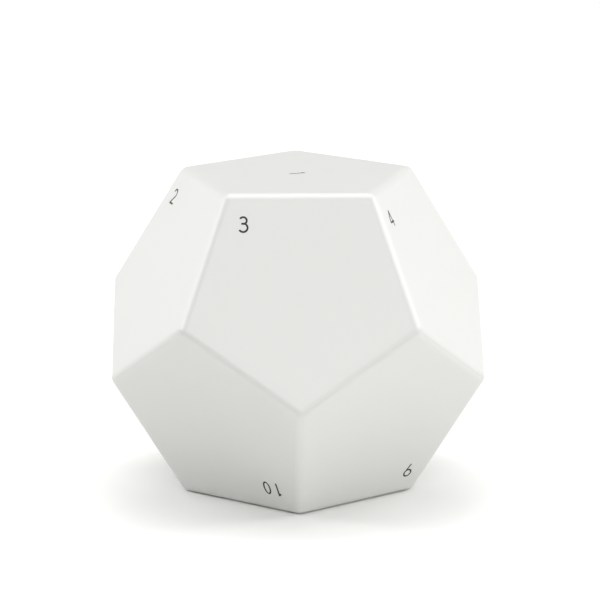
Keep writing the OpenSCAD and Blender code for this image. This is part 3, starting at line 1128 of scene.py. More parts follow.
def islands(node: str) -> list[tuple[Vector, Vector]]:
    """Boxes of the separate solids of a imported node.

    Args:
        node: Name of the node.

    Returns:
        Lowest and highest corner of each solid, sorted by place.
    """
    mesh = merged_copy(node)
    waiting = set(mesh.verts)
    found = []
    while waiting:
        group, stack = set(), [waiting.pop()]
        while stack:
            vert = stack.pop()
            group.add(vert)
            for rim in vert.link_edges:
                other = rim.other_vert(vert)
                if other in waiting:
                    waiting.discard(other)
                    stack.append(other)
        low = Vector(min(vert.co[axis] for vert in group) for axis in range(3))
        high = Vector(max(vert.co[axis] for vert in group) for axis in range(3))
        found.append((low, high))
    mesh.free()
    return sorted(found, key=lambda pair: tuple(round(value, 6) for value in (pair[0] + pair[1])))


@dataclass
class Dodecahedron:
    """Rules of the regular dodecahedron and of the zigzag along which its shells part."""

    half: float

    def __post_init__(self) -> None:
        """Works out the angles and ratios that all sizes share."""
        self.tilt = math.atan(0.5)
        self.edge = 20 * self.half / math.sqrt(250 + 110 * math.sqrt(5))
        self.belt_radius = self.edge / math.tan(math.radians(36))
        self.belt_height = (math.cos(self.tilt) * self.belt_radius - self.half) / math.sin(self.tilt)
        self.corner_radius = self.edge / (2 * math.sin(math.radians(36)))
        self.centre = Vector((0.0, 0.0, self.half))

    def face_turn(self, number: int) -> Matrix:
        """Turns +Z to the outward normal of a numbered face, and +Y up that face.

        Args:
            number: Number on the face.

        Returns:
            The rotation.
        """
        if number == 1:
            return Matrix.Identity(4)
        if number == 12:
            return Matrix.Rotation(math.pi, 4, "X")
        upper = number <= 6
        azimuth = 198 + 72 * (number - 2) if upper else 90 - 72 * (number - 7)
        lean = math.pi / 2 - (self.tilt if upper else -self.tilt)
        spin = math.radians(270.0 if upper else 90.0)
        return (
            Matrix.Rotation(math.radians(azimuth), 4, "Z")
            @ Matrix.Rotation(lean, 4, "Y")
            @ Matrix.Rotation(spin, 4, "Z")
        )

    def seam_ring(self, apothem: float, lift: float) -> list[Vector]:
        """Ten corners of the zigzag on the upper faces of a smaller dodecahedron.

        Args:
            apothem: Distance of that dodecahedron's faces from the centre.
            lift: How far the zigzag is moved up.

        Returns:
            The corners about the centre, starting at azimuth 18 degrees with a high one.
        """
        slope = self.belt_height / self.belt_radius
        ring = []
        for index in range(10):
            high = index % 2 == 0
            across = math.cos(math.radians(36)) if high else 1.0
            rise = slope if high else -slope
            lean = math.cos(self.tilt) * across + math.sin(self.tilt) * rise
            radius = (apothem - math.sin(self.tilt) * lift) / lean
            ring.append(polar(radius, 18 + 36 * index, rise * radius + lift))
        return ring

    def end_ring(self, apothem: float, side: Half) -> list[Vector]:
        """Five corners of the top or bottom face of a smaller dodecahedron.

        Args:
            apothem: Distance of that dodecahedron's faces from the centre.
            side: Which of the two faces.

        Returns:
            The corners about the centre.
        """
        first = 18 if side is Half.UPPER else 54
        radius = self.corner_radius * apothem / self.half
        return [polar(radius, first + 72 * index, side.value * apothem) for index in range(5)]


@dataclass
class Housing(Assembly):
    """The two shells and the numerals let into them."""

    shape: Dodecahedron
    edge_radius: float = 2.8 * MM
    edge_steps: int = 7
    wall: float = 2.4 * MM
    seam: float = 0.02 * MM
    lip_height: float = 2.2 * MM
    lip_thickness: float = 1.104 * MM
    lip_play: float = 0.1 * MM
    inner_radius: float = 0.6 * MM
    support: float = 0.3 * MM
    post_radius: float = 3.2 * MM
    pilot_radius: float = 1.1 * MM
    pilot_depth: float = 7.6 * MM
    post_azimuths: tuple[float, ...] = (90.0, 234.0, 306.0)
    proud: float = 0.3 * MM

    def build(self) -> None:
        """Builds both shells and dresses the numerals."""
        for half, node, body in (
            (Half.UPPER, "upper_shell", Body.CAP),
            (Half.LOWER, "lower_shell", Body.BASE),
        ):
            self.fit(self.shell(half, node + "_moulding"), body, "shell_plastic", node)
        for number in range(1, 13):
            self.paint_node(f"numeral_{number}", self.finishes.ink)

    def face_cell(self) -> bpy.types.Object:
        """One face with its share of the rounded edges and corners, lying level above the origin.

        Returns:
            The stock piece that is repeated on six sides of a shell.
        """
        mesh = bmesh.new()
        shape, steps = self.shape, self.edge_steps
        core = (shape.half - self.edge_radius) / shape.half
        bend = (math.pi / 2 - shape.tilt) / 2
        corner_at = [polar(core * shape.corner_radius, 18 + 72 * k, core * shape.half) for k in range(5)]
        sideways = [polar(1.0, 54 + 72 * k) for k in range(5)]

        def lean(side: int, step: int) -> Vector:
            """Direction that has turned from the face towards a side."""
            angle = bend * step / steps
            return Z_AXIS * math.cos(angle) + sideways[side % 5] * math.sin(angle)

        def patch(k: int) -> list[list]:
            """Vertices of the rounded corner k, from the flat to the corner's tip."""
            tip = corner_at[k].normalized()
            rows = []
            for i in range(steps + 1):
                first, last = lean(k - 1, i), lean(k, steps).slerp(tip, i / steps)
                rows.append(
                    [
                        mesh.verts.new(corner_at[k] + first.slerp(last, j / steps) * self.edge_radius)
                        if i or j
                        else mesh.verts.new(corner_at[k] + Z_AXIS * self.edge_radius)
                        for j in range(steps + 1)
                    ]
                )
            return rows

        patches = [patch(k) for k in range(5)]
        for rows in patches:
            for lower, upper in zip(rows, rows[1:]):
                for j in range(steps):
                    mesh.faces.new((lower[j], upper[j], upper[j + 1], lower[j + 1]))
        for k, rows in enumerate(patches):
            following = patches[(k + 1) % 5]
            near, far = rows[0], [row[0] for row in following]
            for j in range(steps):
                mesh.faces.new((near[j], near[j + 1], far[j + 1], far[j]))
        rim = [rows[0][0] for rows in patches]
        inset = 1 - self.support / (rim[0].co.xy.length * math.cos(math.radians(36)))
        inner = [mesh.verts.new((v.co.x * inset, v.co.y * inset, v.co.z)) for v in rim]
        for k in range(5):
            after = (k + 1) % 5
            mesh.faces.new((rim[k], rim[after], inner[after], inner[k]))
        mesh.faces.new(inner)
        data = bpy.data.meshes.new("face_cell")
        bmesh.ops.recalc_face_normals(mesh, faces=mesh.faces)
        mesh.to_mesh(data)
        mesh.free()
        return finished("face_cell", data)

    def skin(self, half: Half) -> bpy.types.Object:
        """The outside of one shell: six face cells, welded along their common edges."""
        numbers = range(1, 7) if half is Half.UPPER else range(7, 13)
        places = [self.shape.face_turn(number) for number in numbers]
        return self.repeater.repeat("skin", self.face_cell(), places, [self.finishes.shell], 0.002 * MM)

    def belt_edges(self, mesh: bmesh.types.BMesh, half: Half) -> list[list]:
        """Opens the skin's rim by the seam gap and sorts its vertices.

        Args:
            mesh: The skin.
            half: Which shell it is.

        Returns:
            For each of the ten belt edges, its rim vertices in order of azimuth.
        """
        rim = [vert for vert in mesh.verts if any(edge.is_boundary for edge in vert.link_edges)]
        start_angle = math.radians(17.99)
        ordered = sorted(
            rim, key=lambda vert: (math.atan2(vert.co.y, vert.co.x) - start_angle) % math.tau
        )
        spans: list[list] = [[] for _ in range(10)]
        for vert in ordered:
            azimuth = (math.degrees(math.atan2(vert.co.y, vert.co.x)) - 18.0) % 360.0
            index = int((azimuth + 1e-3) // 36) % 10
            spans[index].append(vert)
        for vert in rim:
            vert.co.z += half.value * self.seam / 2
        return [spans[index] + [spans[(index + 1) % 10][0]] for index in range(10)]

    def shell(self, half: Half, name: str) -> bpy.types.Object:
        """Builds one shell as a closed wall with its tongue or rebate.

        Args:
            half: Which shell.
            name: Name of the piece.

        Returns:
            The shell, with its ledges or posts and with pockets for its numerals.
        """
        skin = self.skin(half)
        mesh = bmesh.new()
        mesh.from_mesh(skin.data)
        bpy.data.objects.remove(skin)
        spans = self.belt_edges(mesh, half)
        inner = self.shape.half - self.wall
        lip = inner + self.lip_thickness
        gap = half.value * self.seam / 2
        if half is Half.UPPER:
            steps = [(lip + self.lip_play, gap), (lip + self.lip_play, self.lip_height + self.lip_play)]
            steps.append((inner, self.lip_height + self.lip_play))
        else:
            steps = [(lip, gap), (lip, self.lip_height), (inner, self.lip_height), (inner, 0.0)]
        rings = [[mesh.verts.new(p) for p in self.shape.seam_ring(*step)] for step in steps]
        for index, span in enumerate(spans):
            after = (index + 1) % 10
            mesh.faces.new(span + [rings[0][after], rings[0][index]])
            for outer, following in zip(rings, rings[1:]):
                mesh.faces.new((outer[index], outer[after], following[after], following[index]))
        ends = [mesh.verts.new(p) for p in self.shape.end_ring(inner, half)]
        mesh.faces.new(ends)
        rim = rings[-1]
        first = 1 if half is Half.UPPER else 0
        soft_edges = []
        for k in range(5):
            middle = first + 2 * k
            low, high = (k, (k + 1) % 5) if half is Half.UPPER else ((k - 1) % 5, k)
            corners = [rim[(middle + 1) % 10], rim[middle], rim[(middle - 1) % 10], ends[low], ends[high]]
            face = mesh.faces.new(corners)
            soft_edges += [edge for edge in face.edges if any(v in ends for v in edge.verts)]
        bmesh.ops.recalc_face_normals(mesh, faces=mesh.faces)
        bmesh.ops.bevel(
            mesh,
            geom=list(set(soft_edges)),
            offset=self.inner_radius,
            segments=3,
            profile=0.5,
            affect="EDGES",
        )
        bmesh.ops.translate(mesh, verts=mesh.verts, vec=self.shape.centre)
        data = bpy.data.meshes.new(name)
        mesh.to_mesh(data)
        mesh.free()
        data.materials.append(self.finishes.shell)
        return self.cut_and_join(name, data, half)

    def cut_and_join(self, name: str, data: bpy.types.Mesh, half: Half) -> bpy.types.Object:
        """Adds the fittings inside a shell and cuts its pockets and pilot holes.

        Args:
            name: Name of the piece.
            data: The bare wall.
            half: Which shell it is.

        Returns:
            The finished shell.
        """
        work = bpy.data.objects.new(name + "_work", data)
        bpy.context.scene.collection.objects.link(work)
        fittings = self.ledges() if half is Half.UPPER else self.posts()
        numbers = range(1, 7) if half is Half.UPPER else range(7, 13)
        tools = [("UNION", fittings), ("DIFFERENCE", self.pockets(numbers))]
        if half is Half.LOWER:
            tools.append(("DIFFERENCE", self.pilots()))
        for operation, tool in tools:
            cut = work.modifiers.new(operation.lower(), "BOOLEAN")
            cut.operation = operation
            cut.solver = "EXACT"
            cut.object = tool
        made = finished(name, evaluated_mesh(work, name), 32.0)
        for _, tool in tools:
            bpy.data.objects.remove(tool)
        return made

    def ledges(self) -> bpy.types.Object:
        """Five catch ledges, whose outer ends run into the wall of the upper shell."""
        former = Former()
        reach = max(vert.co.xy.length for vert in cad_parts["snap_clips"].data.vertices)
        hook = self.shape.half + 4 * MM
        start, top = reach - 0.8 * MM, hook - 0.1 * MM
        outer = self.wall_distance(top - self.shape.half) + self.wall / 2
        former.block(
            Vector((start, -5 * MM, top - 1.5 * MM)), Vector((outer, 5 * MM, top)), 0.25 * MM
        )
        stock = former.piece("ledge_stock")
        places = [Matrix.Rotation(math.radians(54 + 72 * k), 4, "Z") for k in range(5)]
        return self.repeater.repeat("ledges", stock, places, [self.finishes.shell])

    def wall_distance(self, height: float) -> float:
        """Distance from the Z axis to the inner wall of a side face, towards which it leans in."""
        inner = self.shape.half - self.wall
        return (inner - math.sin(self.shape.tilt) * abs(height)) / math.cos(self.shape.tilt)

    def posts(self) -> bpy.types.Object:
        """Three screw posts, cut to end within the wall of the lower shell."""
        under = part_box("chassis_screws")[0].z
        top = self.post_top()
        former = Former()
        core = self.shape.half - self.wall / 2
        for azimuth in self.post_azimuths:
            at = polar(0.725 * self.shape.half, azimuth)
            outline = [polar(self.post_radius, 7.5 * step) + at for step in range(48)]
            foot = []
            for point in outline:
                across = point.dot(polar(1.0, azimuth))
                deep = (core - math.cos(self.shape.tilt) * across) / math.sin(self.shape.tilt)
                foot.append(max(self.shape.half - deep, self.wall / 2))
            lower = [former.mesh.verts.new((p.x, p.y, z)) for p, z in zip(outline, foot)]
            upper = [former.mesh.verts.new((p.x, p.y, top)) for p in outline]
            former.band(lower, upper, 48, 0)
            former.mesh.faces.new(lower)
            former.mesh.faces.new(upper)
        LOG.info("posts run from the wall up to %.4f, past the screws' tips at %.4f", top, under)
        return former.piece("posts", [self.finishes.shell])

    def post_top(self) -> float:
        """Height at which the posts meet the underside of the chassis plate."""
        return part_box("chassis_screws")[0].z + self.pilot_depth - 0.5 * MM - 1.6 * MM

    def pilots(self) -> bpy.types.Object:
        """Three pilot holes to cut down into the posts."""
        former = Former()
        top = self.post_top()
        bottom = top - self.pilot_depth
        for azimuth in self.post_azimuths:
            place = Matrix.Translation(polar(0.725 * self.shape.half, azimuth))
            former.lathe(
                [
                    (bottom, 0.0),
                    (bottom + 0.5 * MM, self.pilot_radius),
                    (top + MM, self.pilot_radius),
                    (top + MM, 0.0),
                ],
                place,
                32,
            )
        return former.piece("pilots")

    def pockets(self, numbers: Iterable[int]) -> bpy.types.Object:
        """Cutters with the outlines of the numerals, raised proud of their faces.

        Args:
            numbers: Faces to cut.

        Returns:
            All cutters in one object.
        """
        joined = bmesh.new()
        for number in numbers:
            mesh = merged_copy(f"numeral_{number}")
            normal = self.shape.face_turn(number) @ Z_AXIS
            for vert in mesh.verts:
                if (vert.co - self.shape.centre).dot(normal) > self.shape.half - 0.01 * MM:
                    vert.co += normal * self.proud
            data = bpy.data.meshes.new("pocket")
            mesh.to_mesh(data)
            mesh.free()
            joined.from_mesh(data)
            bpy.data.meshes.remove(data)
        data = bpy.data.meshes.new("pockets")
        joined.to_mesh(data)
        joined.free()
        return finished("pockets", data)


@dataclass
class CellTray(Assembly):
    """The chassis with its clips, contacts, springs and cells."""

    coil: CoilRecipe = field(default_factory=CoilRecipe)
    clip_width: float = 6 * MM
    clip_thickness: float = 0.5 * MM
    clip_bend: float = 0.7 * MM
    wire: float = 0.7 * MM
    coil_turns: float = 3.5
    can_edge: float = 0.9 * MM
    nub_edge: float = 0.5 * MM
    sleeve_lap: float = 1.1 * MM
    sleeve_thickness: float = 0.2 * MM

    def build(self) -> None:
        """Builds everything on the chassis."""
        self.fit(
            refined("chassis", "chassis_moulding", 0.22 * MM, self.finishes.chassis),
            Body.BASE,
            "chassis_plastic",
            "chassis",
        )
        self.clips()
        for node in ("plus_contact", "minus_contact", "link_contact"):
            piece = refined(node, node + "_strip", 0.12 * MM, self.finishes.nickel)
            self.fit(piece, Body.BASE, "contact_nickel", node)
        self.spring("minus_spring", -1.0)
        self.spring("link_spring", 1.0)
        self.cell("cell_a", Body.CELL_A, 1.0, (0.02, 0.16, 0.12))
        self.cell("cell_b", Body.CELL_B, -1.0, (0.02, 0.16, 0.12))

    def clips(self) -> None:
        """Bends one spring clip and repeats it on five sides."""
        low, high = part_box("snap_clips")
        reach = max(vert.co.xy.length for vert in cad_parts["snap_clips"].data.vertices)
        reach = math.sqrt(reach**2 - (self.clip_width / 2) ** 2)
        sheet = self.clip_thickness / 2
        upright = reach - 1.2 * MM - sheet
        hook = low.z + (high.z - low.z) - 3.2 * MM
        corners = [
            Vector((upright - 3.2 * MM, 0.0, low.z + sheet)),
            Vector((upright, 0.0, low.z + sheet)),
            Vector((upright, 0.0, hook + sheet)),
            Vector((reach - sheet, 0.0, hook + sheet)),
            Vector((upright - 0.35 * MM, 0.0, high.z - 0.1 * MM)),
        ]
        former = Former()
        former.strip(rounded_line(corners, self.clip_bend), self.clip_width, self.clip_thickness)
        stock = former.piece("clip_stock")
        places = [Matrix.Rotation(math.radians(54 + 72 * k), 4, "Z") for k in range(5)]
        piece = self.repeater.repeat("spring_clips", stock, places, [self.finishes.spring_steel])
        self.fit(piece, Body.BASE, "spring_steel", "snap_clips")

    def spring(self, node: str, heading: float) -> None:
        """Winds a minus spring.

        Args:
            node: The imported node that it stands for.
            heading: Sign of X towards which the coil narrows.
        """
        low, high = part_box(node)
        centre = (low + high) / 2
        radius = self.wire / 2
        base = (high.y - low.y) / 2 - radius
        start = low.x + radius if heading > 0 else high.x - radius
        piece = self.coil.cast(
            node + "_coil",
            seed_points([]),
            {
                "Turns": self.coil_turns,
                "Length": high.x - low.x - 2 * radius,
                "Base Radius": base * 0.985,
                "Tip Radius": base * 0.61,
                "Wire Radius": radius * 0.98,
                "Place": (start, centre.y, centre.z),
                "Turn": (0.0, heading * math.pi / 2, 0.0),
                "Material": self.finishes.nickel,
            },
            60.0,
        )
        self.fit(piece, Body.BASE, "contact_spring", node)

    def cell(self, node: str, body: Body, heading: float, colour: Colour) -> None:
        """Turns a cell's can and its sleeve.

        Args:
            node: The can's node; the sleeve's is the same with _jacket.
            body: The body that carries the cell.
            heading: Sign of X towards which its plus end points.
            colour: Colour of the sleeve.
        """
        low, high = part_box(node)
        sleeve_low, sleeve_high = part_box(node + "_jacket")
        middle = (sleeve_low + sleeve_high) / 2
        outer = (sleeve_high.z - sleeve_low.z) / 2
        radius = outer - self.sleeve_thickness
        length, nub = high.x - low.x, (high.x - low.x) - (sleeve_high.x - sleeve_low.x)
        minus_end = low.x if heading > 0 else high.x
        place = Matrix.Translation((minus_end, middle.y, middle.z)) @ Matrix.Rotation(
            heading * math.pi / 2, 4, "Y"
        )
        shoulder, edge, tip = length - nub, self.can_edge, 2.75 * MM
        can = [(0.35 * MM, 0.0), (0.35 * MM, 3.6 * MM), (0.0, 4.0 * MM), (0.0, radius - edge)]
        can += [(edge * (1 - math.cos(a)), radius - edge * (1 - math.sin(a))) for a in quarter()]
        can += [(shoulder - edge * (1 - math.sin(a)), radius - edge * (1 - math.cos(a))) for a in quarter()]
        can += [(shoulder, radius - 1.6 * MM), (shoulder - 0.5 * MM, radius - 1.9 * MM)]
        can += [
            (shoulder - 0.5 * MM, tip + 0.9 * MM),
            (shoulder - 0.15 * MM, tip + 0.35 * MM),
            (shoulder, tip),
        ]
        rise = self.nub_edge
        can += [(length - rise * (1 - math.sin(a)), tip - rise * (1 - math.cos(a))) for a in quarter()]
        can += [(length, 0.0)]
        former = Former()
        former.lathe(can, place, 64)
        self.fit(former.piece(node + "_can", [self.finishes.can]), body, "cell_can", node)
        bend = 0.6 * MM
        sleeve = [(0.0, outer - bend - self.sleeve_lap)]
        sleeve += [(bend * (1 - math.cos(a)) * 1.0, outer - bend * (1 - math.sin(a))) for a in quarter()]
        sleeve += [(shoulder - bend * (1 - math.sin(a)), outer - bend * (1 - math.cos(a))) for a in quarter()]
        sleeve += [(shoulder, outer - bend - self.sleeve_lap)]
        sleeve += [(shoulder - 0.12 * MM, outer - bend - self.sleeve_lap)]
        sleeve += [(shoulder - edge, radius + 0.02 * MM), (edge, radius + 0.02 * MM)]
        sleeve += [(0.12 * MM, outer - bend - self.sleeve_lap)]
        former = Former()
        former.lathe(sleeve, place, 64)
        paint = ShrinkSleeve(node + "_sleeve", colour, middle, length, heading).material()
        self.fit(former.piece(node + "_sleeve", [paint]), body, "cell_jacket", node + "_jacket")


def quarter(steps: int = 6) -> list[float]:
    """Angles of a quarter turn, from nought."""
    return [math.pi / 2 * step / steps for step in range(steps + 1)]


@dataclass
class Fasteners(Assembly):
    """The screws, with a cross recess and a rolled thread."""

    thread: ThreadRecipe = field(default_factory=ThreadRecipe)

    def build(self) -> None:
        """Builds both sets of screws."""
        self.screws("chassis_screws", 2.0 * MM, 1.3 * MM, 1.1 * MM, 7.1 * MM, up=True)
        self.screws("board_screws", 1.8 * MM, 1.1 * MM, 0.9 * MM, 5.0 * MM, up=False)

    def screws(self, node: str, head: float, crown: float, shank: float, length: float, up: bool) -> None:
        """Builds one set of screws on its seed points.

        Args:
            node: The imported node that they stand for.
            head: Radius of the head.
            crown: Height of the head.
            shank: Radius of the shank.
            length: Length of the shank.
            up: True if the head looks up.
        """
        former = Former()
        bend = 0.55 * crown
        profile = [(-length, 0.0), (-length, 0.35 * shank), (-length + shank, 0.86 * shank)]
        profile += [(0.0, 0.86 * shank), (0.0, head - 0.1 * MM), (0.1 * MM, head)]
        profile += [(crown - bend * (1 - math.sin(a)), head - bend * (1 - math.cos(a))) for a in quarter()]
        profile += [(crown, 0.0)]
        former.lathe(profile, Matrix.Identity(4), 40)
        blank = former.piece(node + "_blank", [self.finishes.zinc])
        cutter = Former()
        slot = 0.17 * head
        for turn in (0.0, math.pi / 2):
            low, high = Vector((-0.62 * head, -slot, 0.4 * crown)), Vector((0.62 * head, slot, 2 * crown))
            before = set(cutter.mesh.verts)
            cutter.block(low, high)
            fresh = [vert for vert in cutter.mesh.verts if vert not in before]
            bmesh.ops.rotate(cutter.mesh, verts=fresh, cent=(0, 0, 0), matrix=Matrix.Rotation(turn, 3, "Z"))
        recess = cutter.piece(node + "_recess")
        cut = blank.modifiers.new("recess", "BOOLEAN")
        cut.operation, cut.solver, cut.object, cut.use_self = "DIFFERENCE", "EXACT", recess, True
        blank = finished(node + "_blank", evaluated_mesh(blank, node + "_blank"), 30.0)
        bpy.data.objects.remove(recess)
        places = []
        for low, high in islands(node):
            centre = (low + high) / 2
            seat = high.z - crown if up else low.z + crown
            flip = Matrix.Identity(4) if up else Matrix.Rotation(math.pi, 4, "X")
            places.append(Matrix.Translation((centre.x, centre.y, seat)) @ flip)
        piece = self.thread.cast(
            node + "_set",
            seed_points(places),
            {
                "Blank": blank,
                "Shank Radius": 0.86 * shank,
                "Pitch": 0.45 * shank,
                "Thread Length": 0.78 * length,
                "Thread Depth": 0.16 * shank,
                "Material": self.finishes.zinc,
            },
        )
        bpy.data.objects.remove(blank)
        self.fit(piece, Body.BASE, "screw_steel", node)


@dataclass
class Electronics(Assembly):
    """The circuit board and all that is soldered to it, and the reset button."""

    def build(self) -> None:
        """Builds the board's parts."""
        base = Body.BASE
        self.fit(
            refined("main_board", "main_board_plate", 0.08 * MM, self.finishes.mask),
            base,
            "board",
            "main_board",
        )
        self.fit(
            refined("radio_module", "radio_board", 0.06 * MM, self.finishes.radio_mask),
            base,
            "radio_board",
            "radio_module",
        )
        self.shield()
        self.chips()
        self.passives("capacitors", self.finishes.ceramic, "capacitor_ceramic")
        self.passives("resistors", self.finishes.glaze, "resistor_film")
        self.lights("upper_leds", "upper_lights", up=True)
        self.lights("lower_leds", "lower_lights", up=False)
        self.antenna()
        self.switch()
        self.pads()

    def shield(self) -> None:
        """Drawn can over the radio, with rounded edges, and a grid of twelve thin near-black discs at the low
        face of its box as painted shade in place of vent holes.
        """
        centre, half = centre_and_half("radio_shield")
        piece = refined("radio_shield", "radio_can", 0.18 * MM, self.finishes.tin)
        self.fit(piece, Body.BASE, "shield_metal", "radio_shield")
        # Thin near-black discs stand in for vent holes: painted shade laid on the can, with no holes cut
        # through it.
        former = Former()
        low = centre.z - half.z
        former.lathe(
            [(0.0, 0.0), (0.0, 0.5 * MM), (0.02 * MM, 0.5 * MM), (0.02 * MM, 0.0)], Matrix.Identity(4), 16
        )
        stock = former.piece("dimple_stock")
        places = [
            Matrix.Translation((centre.x + i * 2.4 * MM, centre.y + j * 2.4 * MM, low))
            for i in (-1.5, -0.5, 0.5, 1.5)
            for j in (-1, 0, 1)
        ]
        shade_discs = self.repeater.repeat("radio_can_vents", stock, places, [self.finishes.dark_plastic])
        self.fit(shade_discs, Body.BASE, "shield_metal")

    def chips(self) -> None:
        """Packages with leads and pin marks."""
        for node, paint, slot in (
            ("motion_sensor", self.finishes.epoxy, "chip_epoxy"),
            ("voltage_regulator", self.finishes.epoxy, "chip_epoxy"),
            ("power_inductor", self.finishes.ferrite, "ferrite"),
            ("crystal", self.finishes.tin, "shield_metal"),
        ):
            low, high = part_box(node)
            centre, size = (low + high) / 2, high - low
            inset = Vector((0.06 * size.x, 0.06 * size.y, 0.0))
            former = Former()
            former.block(low + inset, Vector((high.x, high.y, high.z - 0.02 * MM)) - inset, 0.12 * MM)
            radius = 0.09 * min(size.x, size.y)
            mark = Matrix.Translation((low.x + 3.2 * radius, low.y + 3.2 * radius, high.z - 0.05 * MM))
            if node == "power_inductor":
                mark = Matrix.Translation((centre.x, centre.y, high.z - 0.05 * MM))
                radius = 0.36 * size.x
            former.lathe(
                [
                    (0.0, 0.0),
                    (0.0, radius),
                    (0.03 * MM, radius),
                    (0.05 * MM, radius - 0.04 * MM),
                    (0.05 * MM, 0.0),
                ],
                mark,
                32,
            )
            piece = former.piece(node + "_body", [paint])
            self.fit(piece, Body.BASE, slot, node)
            self.leads(node, low, high, slot)

    def leads(self, node: str, low: Vector, high: Vector, slot: str) -> None:
        """A row of tinned feet along two sides of a package.

        Args:
            node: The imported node.
            low: Lowest corner of its box.
            high: Highest corner of its box.
            slot: The record's material slot.
        """
        size = high - low
        count = 2 if node in ("power_inductor", "crystal") else 4
        width = 0.42 * size.x / count
        former = Former()
        former.block(
            Vector((-width / 2, 0.0, 0.0)), Vector((width / 2, 0.16 * size.y, 0.3 * size.z)), 0.05 * MM
        )
        stock = former.piece("lead_stock")
        places = []
        for index in range(count):
            x = low.x + size.x * (index + 0.5) / count
            places.append(Matrix.Translation((x, low.y, low.z)))
            places.append(Matrix.Translation((x, high.y, low.z)) @ Matrix.Rotation(math.pi, 4, "Z"))
        piece = self.repeater.repeat(node + "_leads", stock, places, [self.finishes.tin])
        self.fit(piece, Body.BASE, slot)

    def passives(self, node: str, paint: bpy.types.Material, slot: str) -> None:
        """Chip capacitors or resistors with tinned ends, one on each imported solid.

        Args:
            node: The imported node.
            paint: Material between the ends.
            slot: The record's material slot.
        """
        former = Former()
        former.block(Vector((-0.31, -0.46, 0.02)), Vector((0.31, 0.46, 0.96)), 0.04, 0)
        for side in (-1, 1):
            low, high = sorted((side * 0.28, side * 0.5))
            former.block(Vector((low, -0.5, 0.0)), Vector((high, 0.5, 1.0)), 0.06, 1)
        stock = former.piece(node + "_stock", [paint, self.finishes.tin])
        places = []
        for low, high in islands(node):
            size, centre = high - low, (low + high) / 2
            turned = size.y > size.x
            turn = Matrix.Rotation(math.pi / 2 if turned else 0.0, 4, "Z")
            long, wide = (size.y, size.x) if turned else (size.x, size.y)
            place = Matrix.Translation((centre.x, centre.y, low.z)) @ turn
            places.append(place @ Matrix.Diagonal((long, wide, size.z, 1.0)))
        piece = self.repeater.repeat(node + "_set", stock, places, [paint, self.finishes.tin])
        self.fit(piece, Body.BASE, slot, node)

    def lights(self, node: str, name: str, up: bool) -> None:
        """Surface lights: a reflector cup with a clear dome and tinned feet.

        Args:
            node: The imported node.
            name: Name of the piece.
            up: True if they shine up.
        """
        low, high = islands(node)[0]
        size = high - low
        cup, deep, soft = 0.36 * size.x, 0.7 * MM, 0.1 * MM
        former = Former()
        rim = 0.5 * size.x - soft
        former.lathe(
            [(size.z - deep, 0.0), (size.z - deep, 0.72 * cup), (size.z - soft, cup)]
            + [(size.z, cup + soft), (size.z, rim), (size.z - soft, rim + soft)]
            + [(size.z - deep, rim + soft), (size.z - 1.2 * deep, 0.5 * size.x - 2 * soft)]
            + [(soft, 0.5 * size.x - 2 * soft), (soft, 0.0)],
            Matrix.Identity(4),
            36,
        )
        sink = size.z - 0.5 * deep
        wide = 0.84 * cup
        dome = [(sink - 0.15 * deep, 0.0), (sink - 0.15 * deep, wide)]
        dome += [(sink + 0.48 * deep * math.sin(a), wide * math.cos(a)) for a in quarter()]
        former.lathe(dome, Matrix.Identity(4), 36, 1)
        for side in (-1, 1):
            feet_low = Vector((side * 0.5 * size.x - max(side, 0) * 0.7 * MM, -0.5 * size.y, 0.0))
            feet_high = Vector((side * 0.5 * size.x + max(-side, 0) * 0.7 * MM, 0.5 * size.y, 0.25 * MM))
            former.block(feet_low, feet_high, 0.05 * MM, 2)
        paints = [self.finishes.reflector, self.finishes.lens, self.finishes.tin]
        stock = former.piece(name + "_stock", paints)
        places = []
        for one, other in islands(node):
            centre = (one + other) / 2
            seat = one.z if up else other.z
            flip = Matrix.Identity(4) if up else Matrix.Rotation(math.pi, 4, "X")
            places.append(Matrix.Translation((centre.x, centre.y, seat)) @ flip)
        piece = self.repeater.repeat(name, stock, places, paints)
        self.fit(piece, Body.BASE, "led_body", node)

    def antenna(self) -> None:
        """Ceramic antenna with a meander of metal bars on top."""
        low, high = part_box("antenna")
        former = Former()
        skin = Vector((0.0, 0.0, 0.04 * MM))
        former.block(low + skin, high, 0.1 * MM)
        self.fit(
            former.piece("antenna_body", [self.finishes.pale_ceramic]),
            Body.BASE,
            "antenna_ceramic",
            "antenna",
        )
        bar = Former()
        half_width = (high.x - low.x) / 2 - 0.15 * MM
        bar.block(Vector((-half_width, -0.15 * MM, 0.0)), Vector((half_width, 0.15 * MM, 0.06 * MM)))
        stock = bar.piece("bar_stock")
        count = 8
        centre = (low + high) / 2
        places = [
            Matrix.Translation((centre.x, low.y + (high.y - low.y) * (k + 0.5) / count, low.z))
            for k in range(count)
        ]
        piece = self.repeater.repeat("antenna_bars", stock, places, [self.finishes.tin])
        self.fit(piece, Body.BASE, "antenna_ceramic")

